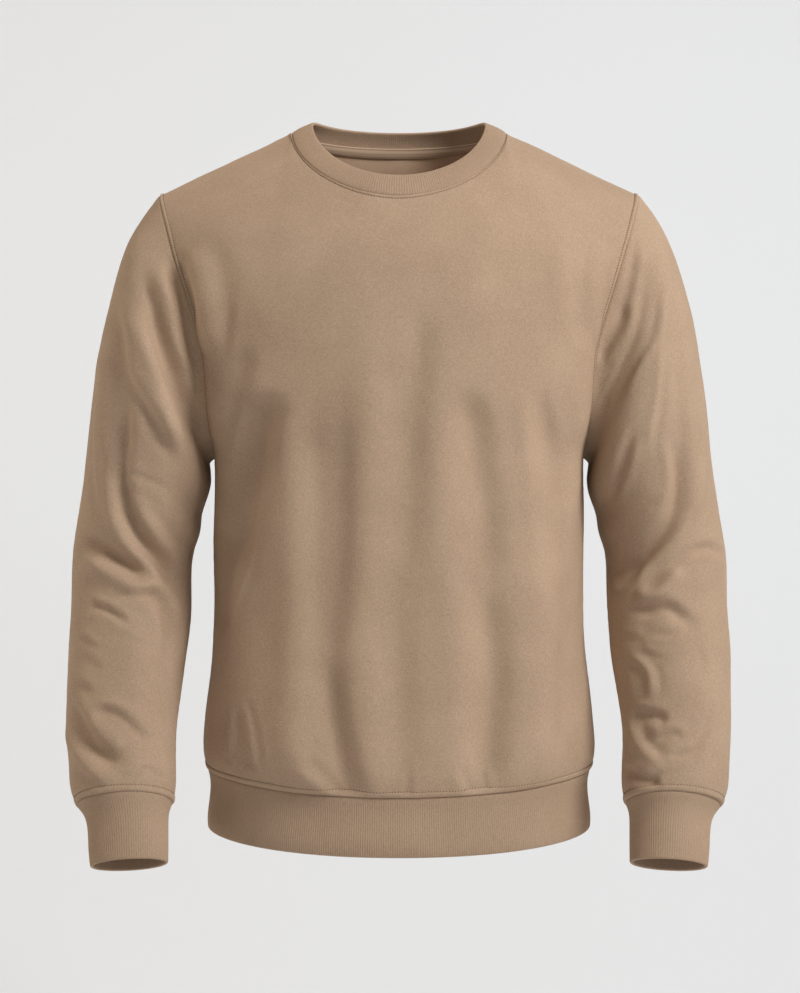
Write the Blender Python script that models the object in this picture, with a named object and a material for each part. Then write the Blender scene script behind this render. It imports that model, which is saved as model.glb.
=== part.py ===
"""Crewneck sweatshirt in brushed fleece, filled out as if worn, with nobody in it.

The cut pieces are front, back, two set-in sleeves, and rib collar, cuffs and hem band, with a tape
inside the back neck. Each is a thin closed wall. The body faces -Y and +Z is up. The origin lies
midway between the two shoulder-neck points, at the inner face of the cloth, where a wearer's
shoulders carry it. Right and left are the wearer's: the right sleeve is at -X. All sizes are in
millimetres until the meshes are made.
"""

from collections import namedtuple

import bpy
import numpy as np

MM = 0.001

# Cloth
FLEECE = 2.2  # body and sleeve cloth
RIB = 3.0  # rib knit, folded double
TAPE = 1.0
SEAM_GAP = 0.3  # between neighbouring pieces
TAPE_GAP = 0.4  # between the tape and the cloth it lies on
TAPE_ABOVE = 4.5  # how far the tape reaches up the collar from the neck seam
TAPE_BELOW = 5.5  # how far it reaches down the back

# The neck at the seam between body and collar, and at the collar's fold. An opening is an ellipse
# that slopes from side_z to the z of its middle; dip above 1 keeps its sides higher for longer.
Opening = namedtuple("Opening", "half_width side_z y z dip")
NECK_FRONT = Opening(102, 3, -85, -69, 1.2)
NECK_BACK = Opening(102, 3, 68, -4, 1.2)
FOLD_FRONT = Opening(80, 14, -74, -50, 1.0)
FOLD_BACK = Opening(80, 14, 61, 15, 1.0)
COLLAR_BULGE = 1.6  # how far the band rounds out between its seam and its fold
COLLAR_PARTS = 2  # rows on each side of the bulge

# Shoulder tip, where shoulder seam and armhole meet
TIP = (-227, 0, -56)

# Parts across half a panel. The shoulder seam and the neck seam share its top edge.
SHOULDER_PARTS = 6
NECK_PARTS = 7
HALF_PARTS = SHOULDER_PARTS + NECK_PARTS

# Levels of the body from the hem seam up to the underarm. A level is a closed ring.
# half_width and side_z place the side seam; front and back are depths at the centre.
# box is the roundness of the ring's corners: 0.55 is an ellipse, 0.7 is squarer.
# swell pushes the corners out past the side seam. parts is the number of rows up to the next level.
Level = namedtuple("Level", "half_width side_z front front_z back back_z box swell parts")
BODY = [
    Level(181.0, -597, 120, -610, 121, -605, 0.64, 0.000, 1),
    Level(185.0, -587, 125, -599, 126, -594, 0.64, 0.000, 1),
    Level(185.5, -570, 127, -581, 128, -576, 0.64, 0.000, 2),
    Level(183.0, -537, 125, -545, 125, -541, 0.64, 0.000, 3),
    Level(176.5, -484, 121, -488, 119, -486, 0.64, 0.000, 3),
    Level(175.0, -415, 120, -417, 115, -416, 0.64, 0.000, 3),
    Level(175.5, -350, 121, -350, 119, -350, 0.63, 0.010, 2),
    Level(174.0, -306, 122, -304, 126, -302, 0.62, 0.045, 0),
]
HEM_BAND = [
    BODY[0]._replace(parts=1),
    Level(178.5, -608, 119, -621, 120, -616, 0.64, 0.000, 1),
    Level(179.0, -626, 121, -639, 122, -634, 0.64, 0.000, 1),
    Level(181.0, -645, 123, -656, 124, -652, 0.64, 0.000, 1),
    Level(180.5, -653, 122, -663, 123, -659, 0.64, 0.000, 0),
]

# Rows of a panel from the underarm up. x, y, z is the armhole edge and mid_y, mid_z the centre line.
# lean draws the cloth beside the armhole inwards, as a share of x; reach is how soon it turns flat.
Row = namedtuple("Row", "x y z mid_y mid_z lean reach parts")
FRONT_ARMHOLE = [
    Row(-174.5, -25, -292, -123, -283, -0.030, 0.55, 1),
    Row(-176.5, -42, -276, -124, -262, -0.030, 0.50, 1),
    Row(-178.0, -55, -253, -125, -240, -0.025, 0.48, 1),
    Row(-179.5, -62, -226, -125, -217, -0.015, 0.45, 2),
    Row(-184.0, -66, -194, -124, -193, 0.010, 0.42, 2),
    Row(-193.0, -65, -164, -122, -170, 0.040, 0.42, 0),
]
BACK_ARMHOLE = [
    Row(-174.5, 24, -292, 129, -278, -0.030, 0.60, 1),
    Row(-176.5, 42, -276, 133, -252, -0.030, 0.55, 1),
    Row(-178.0, 56, -253, 135, -223, -0.025, 0.50, 1),
    Row(-180.0, 64, -226, 136, -194, -0.015, 0.48, 2),
    Row(-184.5, 68, -194, 135, -164, 0.010, 0.45, 2),
    Row(-193.0, 67, -164, 131, -134, 0.040, 0.45, 0),
]
PANEL_BOX = 0.6  # roundness of a panel's rows beside the armholes, as box is for a level
UNDERARM_PARTS = 1  # rows from the underarm to the first armhole row

# The yoke rises from the last armhole row and turns over to the top edge. lift and reach are the
# lengths of that curve's two ends, as a share of the way. slopes are degrees below the level
# at which it meets the top edge: at the shoulder tip, at the neck point and at the centre.
Yoke = namedtuple("Yoke", "lift reach tip_slope neck_slope centre_slope")
FRONT_YOKE = Yoke(0.38, 0.30, 4, 30, 62)
BACK_YOKE = Yoke(0.38, 0.32, 4, 28, 58)
YOKE_PARTS = 6

# Rings of a sleeve from the armhole down. The outer and inner points are x, z on the outline seen
# from the front; y is the ring's centre; front and back are depths; pitch tips the front up.
Ring = namedtuple("Ring", "outer_x outer_z inner_x inner_z y front back pitch parts")
SLEEVE = [
    Ring(-248.0, -86, -180.5, -312, 2, 74, 75, 0, 1),
    Ring(-262.0, -118, -179.5, -321, 0, 80, 79, 0, 2),
    Ring(-277.0, -172, -179.5, -333, 0, 82, 79, 0, 2),
    Ring(-287.0, -224, -183.5, -346, 3, 80, 77, 0, 2),
    Ring(-293.5, -272, -188.5, -360, 7, 77, 75, 0, 2),
    Ring(-298.5, -320, -190.5, -376, 8, 74, 72, 0, 2),
    Ring(-304.5, -360, -195.5, -392, 9, 71, 69, 3, 2),
    Ring(-309.5, -398, -198.0, -412, 6, 67, 66, 10, 3),
    Ring(-309.5, -440, -197.5, -446, -6, 62, 62, 20, 3),
    Ring(-308.5, -497, -200.5, -500, -30, 56, 56, 24, 3),
    Ring(-305.5, -550, -205.0, -551, -54, 53, 53, 24, 2),
    Ring(-301.0, -589, -203.5, -588, -71, 50, 50, 24, 2),
    Ring(-297.0, -612, -203.5, -608, -81, 47, 47, 24, 1),
    Ring(-291.0, -623, -205.0, -618, -86, 43, 43, 24, 0),
]
SLEEVE_TOP_PARTS = 1  # rows from the armhole to the first ring
CUFF = [
    SLEEVE[-1]._replace(parts=1),
    Ring(-284.5, -630, -207.5, -625, -89, 38, 38, 24, 1),
    Ring(-280.5, -640, -208.0, -636, -93, 34, 34, 23, 1),
    Ring(-278.0, -659, -207.0, -655, -101, 31, 31, 22, 1),
    Ring(-275.5, -674, -206.5, -669, -107, 30, 30, 21, 0),
]

# Folds as they hang. depth is how far the cloth stands out, or sinks if negative; width is how far
# from its line a fold has mostly died away; path is the line, as x, z pairs seen from the front.
Fold = namedtuple("Fold", "depth width path")
FRONT_FOLDS = [
    Fold(-3.0, 15, ((-43, -283), (-47, -434), (-56, -523), (-42, -600))),
    Fold(-2.5, 13, ((17, -177), (18, -363), (8, -496))),
    Fold(-3.5, 14, ((74, -283), (88, -399), (90, -524), (77, -605))),
    Fold(2.0, 15, ((-99, -292), (-96, -435), (-58, -595))),
    Fold(2.0, 14, ((-17, -213), (-12, -381), (-12, -522))),
    Fold(2.5, 14, ((47, -274), (56, -452), (53, -580))),
    Fold(3.5, 12, ((117, -229), (124, -345), (131, -400))),
    Fold(2.5, 10, ((133, -508), (132, -552), (128, -595))),
    Fold(-3.5, 9, ((-165, -325), (-154, -364), (-145, -400))),
    Fold(-4.0, 8, ((-194, -117), (-184, -153), (-177, -191))),
    Fold(4.0, 9, ((-171, -151), (-169, -183), (-166, -214))),
    Fold(-3.5, 16, ((-156, -230), (-125, -269), (-116, -300))),
]
BACK_FOLDS = [
    Fold(-3.5, 16, ((-70, -330), (-78, -430), (-60, -590))),
    Fold(-3.0, 15, ((5, -260), (10, -380), (4, -590))),
    Fold(-4.0, 15, ((72, -300), (84, -420), (66, -592))),
    Fold(3.0, 15, ((-32, -300), (-37, -430), (-32, -570))),
    Fold(3.0, 15, ((40, -320), (47, -430), (38, -560))),
    Fold(-3.0, 15, ((-188, -150), (-174, -210), (-150, -290))),
    Fold(-3.0, 15, ((187, -140), (175, -205), (156, -280))),
]
RIGHT_SLEEVE_FOLDS = [
    Fold(5.0, 9, ((-220, -120), (-202, -185), (-184, -240))),
    Fold(-6.0, 8, ((-227, -136), (-214, -199), (-192, -249), (-181, -279))),
    Fold(4.0, 10, ((-239, -162), (-219, -227), (-196, -304))),
    Fold(6.0, 11, ((-270, -225), (-266, -318), (-242, -384), (-199, -440))),
    Fold(-7.0, 10, ((-249, -290), (-245, -357), (-219, -401), (-198, -429))),
    Fold(-4.0, 8, ((-288, -385), (-256, -399), (-228, -415))),
    Fold(-5.0, 8, ((-257, -426), (-233, -427), (-203, -462))),
    Fold(-5.0, 10, ((-295, -514), (-271, -561), (-234, -567))),
    Fold(-4.0, 8, ((-277, -536), (-248, -539), (-224, -560))),
]
LEFT_SLEEVE_FOLDS = [
    Fold(-5.0, 8, ((216, -127), (207, -179), (183, -223))),
    Fold(-3.5, 8, ((236, -181), (208, -241), (191, -299))),
    Fold(3.0, 10, ((249, -152), (240, -209), (230, -291))),
    Fold(-7.0, 10, ((266, -258), (262, -332), (233, -391), (198, -432))),
    Fold(5.0, 10, ((278, -281), (271, -356), (226, -417), (199, -440))),
    Fold(-3.5, 8, ((304, -398), (277, -388), (229, -419))),
    Fold(-4.0, 8, ((201, -439), (234, -442), (262, -448))),
    Fold(-6.0, 11, ((211, -483), (217, -511), (211, -532))),
    Fold(-5.0, 9, ((206, -558), (218, -584), (248, -584))),
]
SLEEVE_BACK_FOLDS = [
    Fold(-3.0, 11, ((-235, -150), (-216, -210), (-200, -270))),
    Fold(-4.0, 11, ((-203, -300), (-225, -340), (-262, -372))),
    Fold(3.5, 11, ((-200, -332), (-225, -374), (-268, -404))),
    Fold(-4.0, 10, ((-208, -470), (-240, -490), (-285, -492))),
    Fold(-3.0, 10, ((-215, -545), (-245, -562), (-285, -554))),
]
FOLD_END = 0.22  # share of a fold's length over which each end dies away
FOLD_STEPS = 6  # points on a fold's line from one of its keys to the next
FOLD_TURN = 0.35  # a fold has its full depth where the cloth faces forward at least this much
SEAM_HOLD = 16  # how far from a seam the cloth is free to fold

DENSE = 200  # points on a curve before they are spaced evenly
SPLINE_EVENNESS = 0.8  # how strongly a spline's pace follows the distance between its keys
LOOP_LEAD = 3  # keys by which a closed loop overlaps itself while its spline is found


def unit(vector):
    return vector / np.linalg.norm(vector, axis=-1, keepdims=True)


def smooth(value):
    """Rises from 0 to 1 with level ends as value does."""
    value = np.clip(value, 0, 1)
    return value * value * (3 - 2 * value)


def spline(keys, parts):
    """Points on a natural cubic spline through keys, with parts[i] steps from key i to the next."""
    keys = np.asarray(keys, float)
    gaps = np.linalg.norm(np.diff(keys, axis=0), axis=1)
    step = (gaps**SPLINE_EVENNESS)[:, None]
    slope = np.diff(keys, axis=0) / step
    matrix = np.eye(len(keys))
    bend = np.zeros_like(keys)
    for i in range(1, len(keys) - 1):
        matrix[i, i - 1 : i + 2] = step[i - 1, 0], 2 * (step[i - 1, 0] + step[i, 0]), step[i, 0]
        bend[i] = 6 * (slope[i] - slope[i - 1])
    bend = np.linalg.solve(matrix, bend)
    found = [keys[:1]]
    for i, count in enumerate(parts):
        b = (np.arange(1, count + 1) / count)[:, None]
        a = 1 - b
        curve = ((a**3 - a) * bend[i] + (b**3 - b) * bend[i + 1]) * step[i] ** 2 / 6
        found.append(a * keys[i] + b * keys[i + 1] + curve)
    return np.concatenate(found)


def bezier(first, second, third, fourth, t):
    """Points of a cubic Bezier curve; t has one more axis than the four points."""
    curve = (1 - t) ** 3 * first + 3 * t * (1 - t) ** 2 * second
    return curve + 3 * t**2 * (1 - t) * third + t**3 * fourth


def even(points, count):
    """count + 1 points at equal distances along a dense polyline."""
    gone = np.concatenate([[0.0], np.cumsum(np.linalg.norm(np.diff(points, axis=0), axis=1))])
    wanted = np.linspace(0, gone[-1], count + 1)
    return np.stack([np.interp(wanted, gone, points[:, axis]) for axis in range(3)], axis=1)


def mirrored(half):
    """A row from the wearer's right edge to the left edge, from its right half."""
    return np.concatenate([half, half[-2::-1] * (-1, 1, 1)])


def half_row(edge, middle, lean, reach, box):
    """Half a row, from its edge to the centre line, as one Bezier curve with even steps."""
    edge, middle = np.asarray(edge, float), np.asarray(middle, float)
    first = edge * (1 - lean, 1, 1) + (0, reach * (middle[1] - edge[1]), 0)
    second = middle + (box * edge[0], 0, 0)
    t = np.linspace(0, 1, DENSE)[:, None]
    return even(bezier(edge, first, second, middle, t), HALF_PARTS)


def level_row(level, side):
    """The front (side -1) or back (side 1) half of a body level, from right to left."""
    depth, z = (level.front, level.front_z) if side < 0 else (level.back, level.back_z)
    edge = (-level.half_width, 0, level.side_z)
    return mirrored(half_row(edge, (0, side * depth, z), -level.swell, level.box, level.box))


def level_ring(level):
    """A whole body level as a closed ring, from the right side by the front."""
    return np.concatenate([level_row(level, -1), level_row(level, 1)[-2:0:-1]])


def opening_half(opening):
    """Half a neck opening, from the wearer's right side to the centre, with even steps."""
    turn = np.linspace(0, np.pi / 2, DENSE)
    sine, cosine = np.sin(turn), np.cos(turn)
    drop = (opening.z - opening.side_z) * sine**opening.dip
    points = np.stack([-opening.half_width * cosine, opening.y * sine, opening.side_z + drop], 1)
    return even(points, NECK_PARTS)


def opening_ring(front, back):
    """A whole neck opening as a closed ring, from the right side by the front."""
    return np.concatenate([mirrored(opening_half(front)), mirrored(opening_half(back))[-2:0:-1]])


def yoke_rows(below, last, opening, yoke, side):
    """Rows from the last armhole row to the top edge: the shoulder seams and the neck seam."""
    neck = opening_half(opening)
    shoulder = np.linspace(TIP, neck[0], SHOULDER_PARTS + 1)
    top = mirrored(np.concatenate([shoulder[:-1], neck]))
    way = np.linalg.norm(top - last, axis=1, keepdims=True)
    rising = unit(last - below)
    share = 1 - np.abs(np.linspace(-1, 1, len(top)))
    at = (0, SHOULDER_PARTS / HALF_PARTS, 1)
    slope = np.radians(np.interp(share, at, (yoke.tip_slope, yoke.neck_slope, yoke.centre_slope)))
    arriving = np.stack([0 * slope, -side * np.cos(slope), np.sin(slope)], axis=1)
    t = (np.arange(1, YOKE_PARTS + 1) / YOKE_PARTS)[:, None, None]
    return bezier(last, last + yoke.lift * way * rising, top - yoke.reach * way * arriving, top, t)


def panel(side, armhole, opening, yoke):
    """The front or back as a grid of points, with rows from the hem seam up, and its armhole."""
    rows = [level_row(level, side) for level in BODY]
    for row in armhole:
        edge, middle = (row.x, row.y, row.z), (0, row.mid_y, row.mid_z)
        rows.append(mirrored(half_row(edge, middle, row.lean, row.reach, PANEL_BOX)))
    body_parts = [level.parts for level in BODY[:-1]]
    arm_parts = [UNDERARM_PARTS, *(row.parts for row in armhole[:-1])]
    grid = tube(rows, body_parts + arm_parts)
    grid[:, 0] = np.concatenate(
        [spline([r[0] for r in rows[: len(BODY)]], body_parts), grid[sum(body_parts) + 1 :, 0]]
    )
    grid = np.concatenate([grid, yoke_rows(grid[-2], grid[-1], opening, yoke, side)])
    armhole_keys = np.concatenate([[r[0] for r in rows[len(BODY) - 1 :]], grid[-YOKE_PARTS:, 0]])
    return grid, armhole_keys, arm_parts + [1] * YOKE_PARTS


def armhole_loop(front_keys, back_keys, parts):
    """The right armhole from the shoulder tip down the front, and up the back to the tip."""
    loop = np.concatenate([front_keys[::-1], back_keys[1:]])
    keys = np.concatenate([loop[-1 - LOOP_LEAD : -1], loop, loop[1 : 1 + LOOP_LEAD]])
    lead = [1] * LOOP_LEAD
    return spline(keys, lead + parts[::-1] + parts + lead)[LOOP_LEAD:-LOOP_LEAD]


def set_armhole(grid, edge):
    """Puts a panel's two side columns on the armhole, edge from the underarm up, and its mirror."""
    rows = len(edge)
    grid[-rows:, 0] = edge
    grid[:, -1] = grid[:, 0] * (-1, 1, 1)


def sleeve_ring(ring, count):
    """Points round a sleeve or cuff ring, from its outer point by the front to the inner one."""
    outer = np.array([ring.outer_x, ring.y, ring.outer_z], float)
    inner = np.array([ring.inner_x, ring.y, ring.inner_z], float)
    pitch = np.radians(ring.pitch)
    forward = np.array([0, -np.cos(pitch), np.sin(pitch)])
    turn = np.linspace(0, 2 * np.pi, count, endpoint=False)
    depth = np.where(np.sin(turn) > 0, ring.front, ring.back) * np.sin(turn)
    across = np.cos(turn)[:, None] * (outer - inner) / 2
    return (outer + inner) / 2 + across + depth[:, None] * forward


def tube(keys, parts):
    """Rows of points through key rows, one spline for each column."""
    keys = np.array(keys)
    return np.stack([spline(keys[:, c], parts) for c in range(keys.shape[1])], axis=1)


def normals_of(grid, closed):
    """Unit normals of a grid of points, by the cross product of its two directions."""
    if closed:
        across = np.roll(grid, -1, axis=1) - np.roll(grid, 1, axis=1)
    else:
        across = np.gradient(grid, axis=1)
    return unit(np.cross(across, np.gradient(grid, axis=0)))


def from_edges(grid, closed):
    """The distance of each grid point from the nearest edge, along its row or its column."""
    down = np.cumsum(np.linalg.norm(np.diff(grid, axis=0, prepend=grid[:1]), axis=2), axis=0)
    nearest = np.minimum(down, down[-1] - down)
    if not closed:
        over = np.cumsum(np.linalg.norm(np.diff(grid, axis=1, prepend=grid[:, :1]), axis=2), axis=1)
        nearest = np.minimum(nearest, np.minimum(over, over[:, -1:] - over))
    return nearest


def fold_strength(fold, grid):
    """How strongly a fold acts at each grid point, from its distance to the fold's line."""
    line = spline(fold.path, [FOLD_STEPS] * (len(fold.path) - 1))
    start, step = line[:-1], np.diff(line, axis=0)
    offset = grid[:, :, None, ::2] - start
    along = np.clip((offset * step).sum(-1) / (step**2).sum(-1), 0, 1)
    away = np.linalg.norm(offset - along[..., None] * step, axis=-1)
    nearest = away.argmin(-1)[..., None]
    share = (nearest + np.take_along_axis(along, nearest, -1))[..., 0] / len(step)
    ends = smooth(share / FOLD_END) * smooth((1 - share) / FOLD_END)
    return ends * np.exp(-((away.min(-1) / fold.width) ** 2))


def folded(grid, folds, side, closed=False, flip=False):
    """The grid with folds pressed into its front (side -1) or its back (side 1)."""
    normal = normals_of(grid, closed) * (-1 if flip else 1)
    free = smooth(from_edges(grid, closed) / SEAM_HOLD)
    free = free * smooth(side * normal[..., 1] / FOLD_TURN)
    shift = sum((fold.depth * fold_strength(fold, grid) for fold in folds), np.zeros(grid.shape[:2]))
    return grid + normal * (shift * free)[..., None]


class Piece:
    """A piece of cloth: a grid of outer points, its thickness and the edges that are sewn."""

    def __init__(self, name, grid, thickness, sewn, closed=False, flip=False):
        self.name, self.grid, self.thickness = name, grid, thickness
        self.sewn, self.closed, self.flip = sewn, closed, flip
        self.normal = normals_of(grid, closed) * (-1 if flip else 1)

    def seam_points(self):
        """The grid positions that lie on a seam."""
        rows, columns = self.grid.shape[:2]
        found = []
        if "first" in self.sewn:
            found += [(0, c) for c in range(columns)]
        if "last" in self.sewn:
            found += [(rows - 1, c) for c in range(columns)]
        if "sides" in self.sewn:
            found += [(r, c) for r in range(1, rows - 1) for c in (0, columns - 1)]
        return found

    def outside(self):
        """The outer points, with each sewn edge drawn back from its seam by half the gap."""
        grid = self.grid.copy()
        if "first" in self.sewn:
            draw_back(grid[0], self.grid[1])
        if "last" in self.sewn:
            draw_back(grid[-1], self.grid[-2])
        if "sides" in self.sewn:
            draw_back(grid[:, 0], self.grid[:, 1])
            draw_back(grid[:, -1], self.grid[:, -2])
        return grid


def draw_back(edge, neighbour):
    """Moves an edge towards its neighbours by half the seam gap."""
    step = neighbour - edge
    edge += unit(step) * SEAM_GAP / 2


def share_seams(pieces):
    """Gives points that pieces share one thickness direction, so that walls meet in a mitre.

    Where front and back both meet a sleeve or a band, they count as one.
    """
    panels, rings = {}, {}
    for piece in pieces:
        total = rings if piece.closed else panels
        for place in piece.seam_points():
            key = tuple(np.round(piece.grid[place], 3))
            total[key] = total.get(key, 0) + piece.normal[place]
    for piece in pieces:
        for place in piece.seam_points():
            key = tuple(np.round(piece.grid[place], 3))
            piece.normal[place] = unit(sum(unit(t[key]) for t in (panels, rings) if key in t))


def neck_tape(back, collar):
    """The tape over the back neck seam, made from the inner points of the back and the collar."""
    neck = slice(SHOULDER_PARTS, SHOULDER_PARTS + 2 * NECK_PARTS + 1)
    behind = [0, *range(collar.grid.shape[1] - 1, 2 * NECK_PARTS - 1, -1)]

    def inner_line(piece, edge, inwards, columns, distance):
        seam, near = piece.grid[edge, columns], piece.grid[inwards, columns]
        share = distance / np.linalg.norm(near - seam, axis=1, keepdims=True)
        depth = piece.thickness + TAPE_GAP
        first, second = piece.normal[edge, columns], piece.normal[inwards, columns]
        return seam - first * depth + share * (near - seam - (second - first) * depth)

    below = inner_line(back, -1, -2, neck, TAPE_BELOW)
    above = inner_line(collar, 0, 1, behind, TAPE_ABOVE)
    seam = inner_line(collar, 0, 1, behind, 0)
    return np.stack([below, seam, above])


def quads_between(first, second, flip):
    """Faces between two rows of point numbers."""
    faces = zip(first[:-1], first[1:], second[1:], second[:-1])
    return [tuple(reversed(f)) if flip else f for f in faces]


def rim_between(edge, outside, inside, flip):
    """Triangles across the wall at an edge. Both neighbours at a seam choose the same diagonals."""
    faces = []
    for i in range(len(outside) - 1):
        a, b, c, d = outside[i], outside[i + 1], inside[i + 1], inside[i]
        if diagonal_key(edge[i]) > diagonal_key(edge[i + 1]):
            faces += [(a, b, c), (a, c, d)]
        else:
            faces += [(a, b, d), (b, c, d)]
    return [tuple(reversed(f)) if flip else f for f in faces]


def diagonal_key(point):
    """Orders two points of a seam alike on either side of it, and on both halves of the garment."""
    x, y, z = np.round(point, 3)
    return z, y, abs(x)


def wall_mesh(piece):
    """The closed wall of a piece: outer points, inner points and the rims between them."""
    outer = piece.outside()
    inner = outer - piece.normal * piece.thickness
    rows, columns = outer.shape[:2]
    edges = piece.grid
    outside = np.arange(rows * columns).reshape(rows, columns)
    inside = outside + rows * columns
    if piece.closed:
        edges, outside, inside = (np.append(a, a[:, :1], axis=1) for a in (edges, outside, inside))
    faces = []
    for r in range(rows - 1):
        faces += quads_between(outside[r], outside[r + 1], piece.flip)
        faces += quads_between(inside[r], inside[r + 1], not piece.flip)
    faces += rim_between(edges[0], outside[0], inside[0], not piece.flip)
    faces += rim_between(edges[-1], outside[-1], inside[-1], piece.flip)
    if not piece.closed:
        faces += rim_between(edges[:, 0], outside[:, 0], inside[:, 0], piece.flip)
        faces += rim_between(edges[:, -1], outside[:, -1], inside[:, -1], not piece.flip)
    points = np.concatenate([outer.reshape(-1, 3), inner.reshape(-1, 3)]) * MM
    return points.tolist(), [tuple(int(n) for n in f) for f in faces]


def material(name, colour, roughness):
    made = bpy.data.materials.new(name)
    made.use_nodes = True
    shader = made.node_tree.nodes["Principled BSDF"]
    shader.inputs["Base Color"].default_value = (*colour, 1)
    shader.inputs["Roughness"].default_value = roughness
    return made


def add(piece, look):
    points, faces = wall_mesh(piece)
    mesh = bpy.data.meshes.new(piece.name)
    mesh.from_pydata(points, [], faces)
    mesh.materials.append(look)
    mesh.shade_smooth()
    bpy.context.scene.collection.objects.link(bpy.data.objects.new(piece.name, mesh))


def main():
    for old in list(bpy.data.objects):
        bpy.data.objects.remove(old)

    front, front_edge, arm_parts = panel(-1, FRONT_ARMHOLE, NECK_FRONT, FRONT_YOKE)
    back, back_edge, _ = panel(1, BACK_ARMHOLE, NECK_BACK, BACK_YOKE)
    loop = armhole_loop(front_edge, back_edge, arm_parts)
    half_loop = sum(arm_parts)
    set_armhole(front, loop[half_loop::-1])
    set_armhole(back, loop[half_loop:])

    count = 2 * half_loop
    ring_keys = [loop[:-1], *(sleeve_ring(ring, count) for ring in SLEEVE)]
    sleeve = tube(ring_keys, [SLEEVE_TOP_PARTS, *(ring.parts for ring in SLEEVE[:-1])])
    cuff = tube([sleeve_ring(ring, count) for ring in CUFF], [ring.parts for ring in CUFF[:-1]])
    hem = tube([level_ring(level) for level in HEM_BAND], [level.parts for level in HEM_BAND[:-1]])

    seam, fold = opening_ring(NECK_FRONT, NECK_BACK), opening_ring(FOLD_FRONT, FOLD_BACK)
    middle = (seam + fold) / 2
    out = middle - middle.mean(axis=0)
    middle += COLLAR_BULGE * unit(out)
    collar = tube([seam, middle, fold], [COLLAR_PARTS, COLLAR_PARTS])

    front = folded(front, FRONT_FOLDS, -1)
    back = folded(back, BACK_FOLDS, 1, flip=True)
    sleeve = folded(sleeve, SLEEVE_BACK_FOLDS, 1, closed=True, flip=True)
    right = folded(sleeve, RIGHT_SLEEVE_FOLDS, -1, closed=True, flip=True)
    left = folded(sleeve * (-1, 1, 1), LEFT_SLEEVE_FOLDS, -1, closed=True)

    around = {"sewn": ("first", "last"), "closed": True}
    banded = {"sewn": ("first",), "closed": True}
    pieces = [
        Piece("front", front, FLEECE, ("first", "last", "sides")),
        Piece("back", back, FLEECE, ("first", "last", "sides"), flip=True),
        Piece("sleeve_right", right, FLEECE, flip=True, **around),
        Piece("sleeve_left", left, FLEECE, **around),
        Piece("cuff_right", cuff, RIB, flip=True, **banded),
        Piece("cuff_left", cuff * (-1, 1, 1), RIB, **banded),
        Piece("hem_band", hem, RIB, flip=True, **banded),
        Piece("collar", collar, RIB, **banded),
    ]
    share_seams(pieces)
    tape = neck_tape(pieces[1], pieces[-1])
    pieces.append(Piece("neck_tape", tape, TAPE, (), flip=True))

    looks = {
        FLEECE: material("fleece", (0.42, 0.31, 0.22), 0.9),
        RIB: material("rib_knit", (0.40, 0.29, 0.20), 0.9),
        TAPE: material("tape", (0.50, 0.38, 0.28), 0.8),
    }
    for piece in pieces:
        add(piece, looks[piece.thickness])


main()
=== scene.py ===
"""Looks of a crewneck sweatshirt in brushed fleece, filled out as if worn, with nobody in it.

Each cut piece is a thin closed shell that replaces its solid. Its form comes from the same rings
and rows as the solid's, on a finer grid, with its own folds, and with seams, ribs and sewing added.
Sizes are in millimetres until the meshes are made. Right and left are the wearer's: the right
sleeve is at -X. The chest faces -Y, +Z is up, and the origin lies between the shoulder-neck points.
"""

from collections import namedtuple

import bpy
import numpy as np
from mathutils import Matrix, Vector


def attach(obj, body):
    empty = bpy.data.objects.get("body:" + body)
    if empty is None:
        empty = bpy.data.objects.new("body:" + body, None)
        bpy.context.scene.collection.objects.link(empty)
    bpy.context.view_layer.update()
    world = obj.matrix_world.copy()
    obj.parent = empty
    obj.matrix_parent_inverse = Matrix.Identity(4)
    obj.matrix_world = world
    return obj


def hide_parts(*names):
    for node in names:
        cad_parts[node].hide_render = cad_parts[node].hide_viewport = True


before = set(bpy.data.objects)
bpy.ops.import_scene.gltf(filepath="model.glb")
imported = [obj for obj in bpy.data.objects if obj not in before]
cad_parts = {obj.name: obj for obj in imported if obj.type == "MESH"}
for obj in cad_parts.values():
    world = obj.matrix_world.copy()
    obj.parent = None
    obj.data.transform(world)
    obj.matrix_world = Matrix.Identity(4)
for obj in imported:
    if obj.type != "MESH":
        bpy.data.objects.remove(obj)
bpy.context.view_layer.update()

MM = 0.001

# ---------------------------------------------------------------- main sizes
# These are those of the solids, but for the collar's fold, which is wider and rounder at its two
# ends, the slope of the back below the neck, and the tape, which lies closer to the cloth. The
# shells meet at their seams, where the solids stand apart.

FLEECE = 2.2  # thickness of the body and sleeve cloth
RIB = 3.0  # of the doubled rib knit
TAPE = 1.0  # of the tape inside the back neck
TAPE_GAP = 0.2  # between the tape and the cloth it lies on
TAPE_ABOVE = (0, 1.5, 3.0, 4.5)  # the tape's rows, by their distance from the neck seam
TAPE_BELOW = (0, 1.4, 2.8, 4.2, 5.5)

# A neck opening's half: half_width and side_z place its side, y and z its middle; dip above 1
# keeps its sides higher for longer
Opening = namedtuple("Opening", "half_width side_z y z dip")
NECK_FRONT = Opening(102, 3, -85, -69, 1.2)
NECK_BACK = Opening(102, 3, 68, -4, 1.2)
FOLD_FRONT = Opening(84, 18, -74, -50, 1.0)
FOLD_BACK = Opening(84, 18, 61, 15, 1.0)
COLLAR_BULGE = 1.6  # how far the collar's middle stands out
TIP = (-227, 0, -56)  # the right shoulder's tip

FINE = 4  # steps of the fine grid for each step of the solids' grid
SHOULDER_PARTS = 6 * FINE  # steps along a shoulder seam
NECK_PARTS = 7 * FINE  # steps along a quarter of the neck
HALF_PARTS = SHOULDER_PARTS + NECK_PARTS
YOKE_PARTS = 6  # coarse steps from the armhole rows to the top edge
COLLAR_PARTS = 2 * FINE  # steps from the neck seam to the collar's middle
COLLAR_SOFT = 30  # how often the fold line's points are drawn to their neighbours

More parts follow.
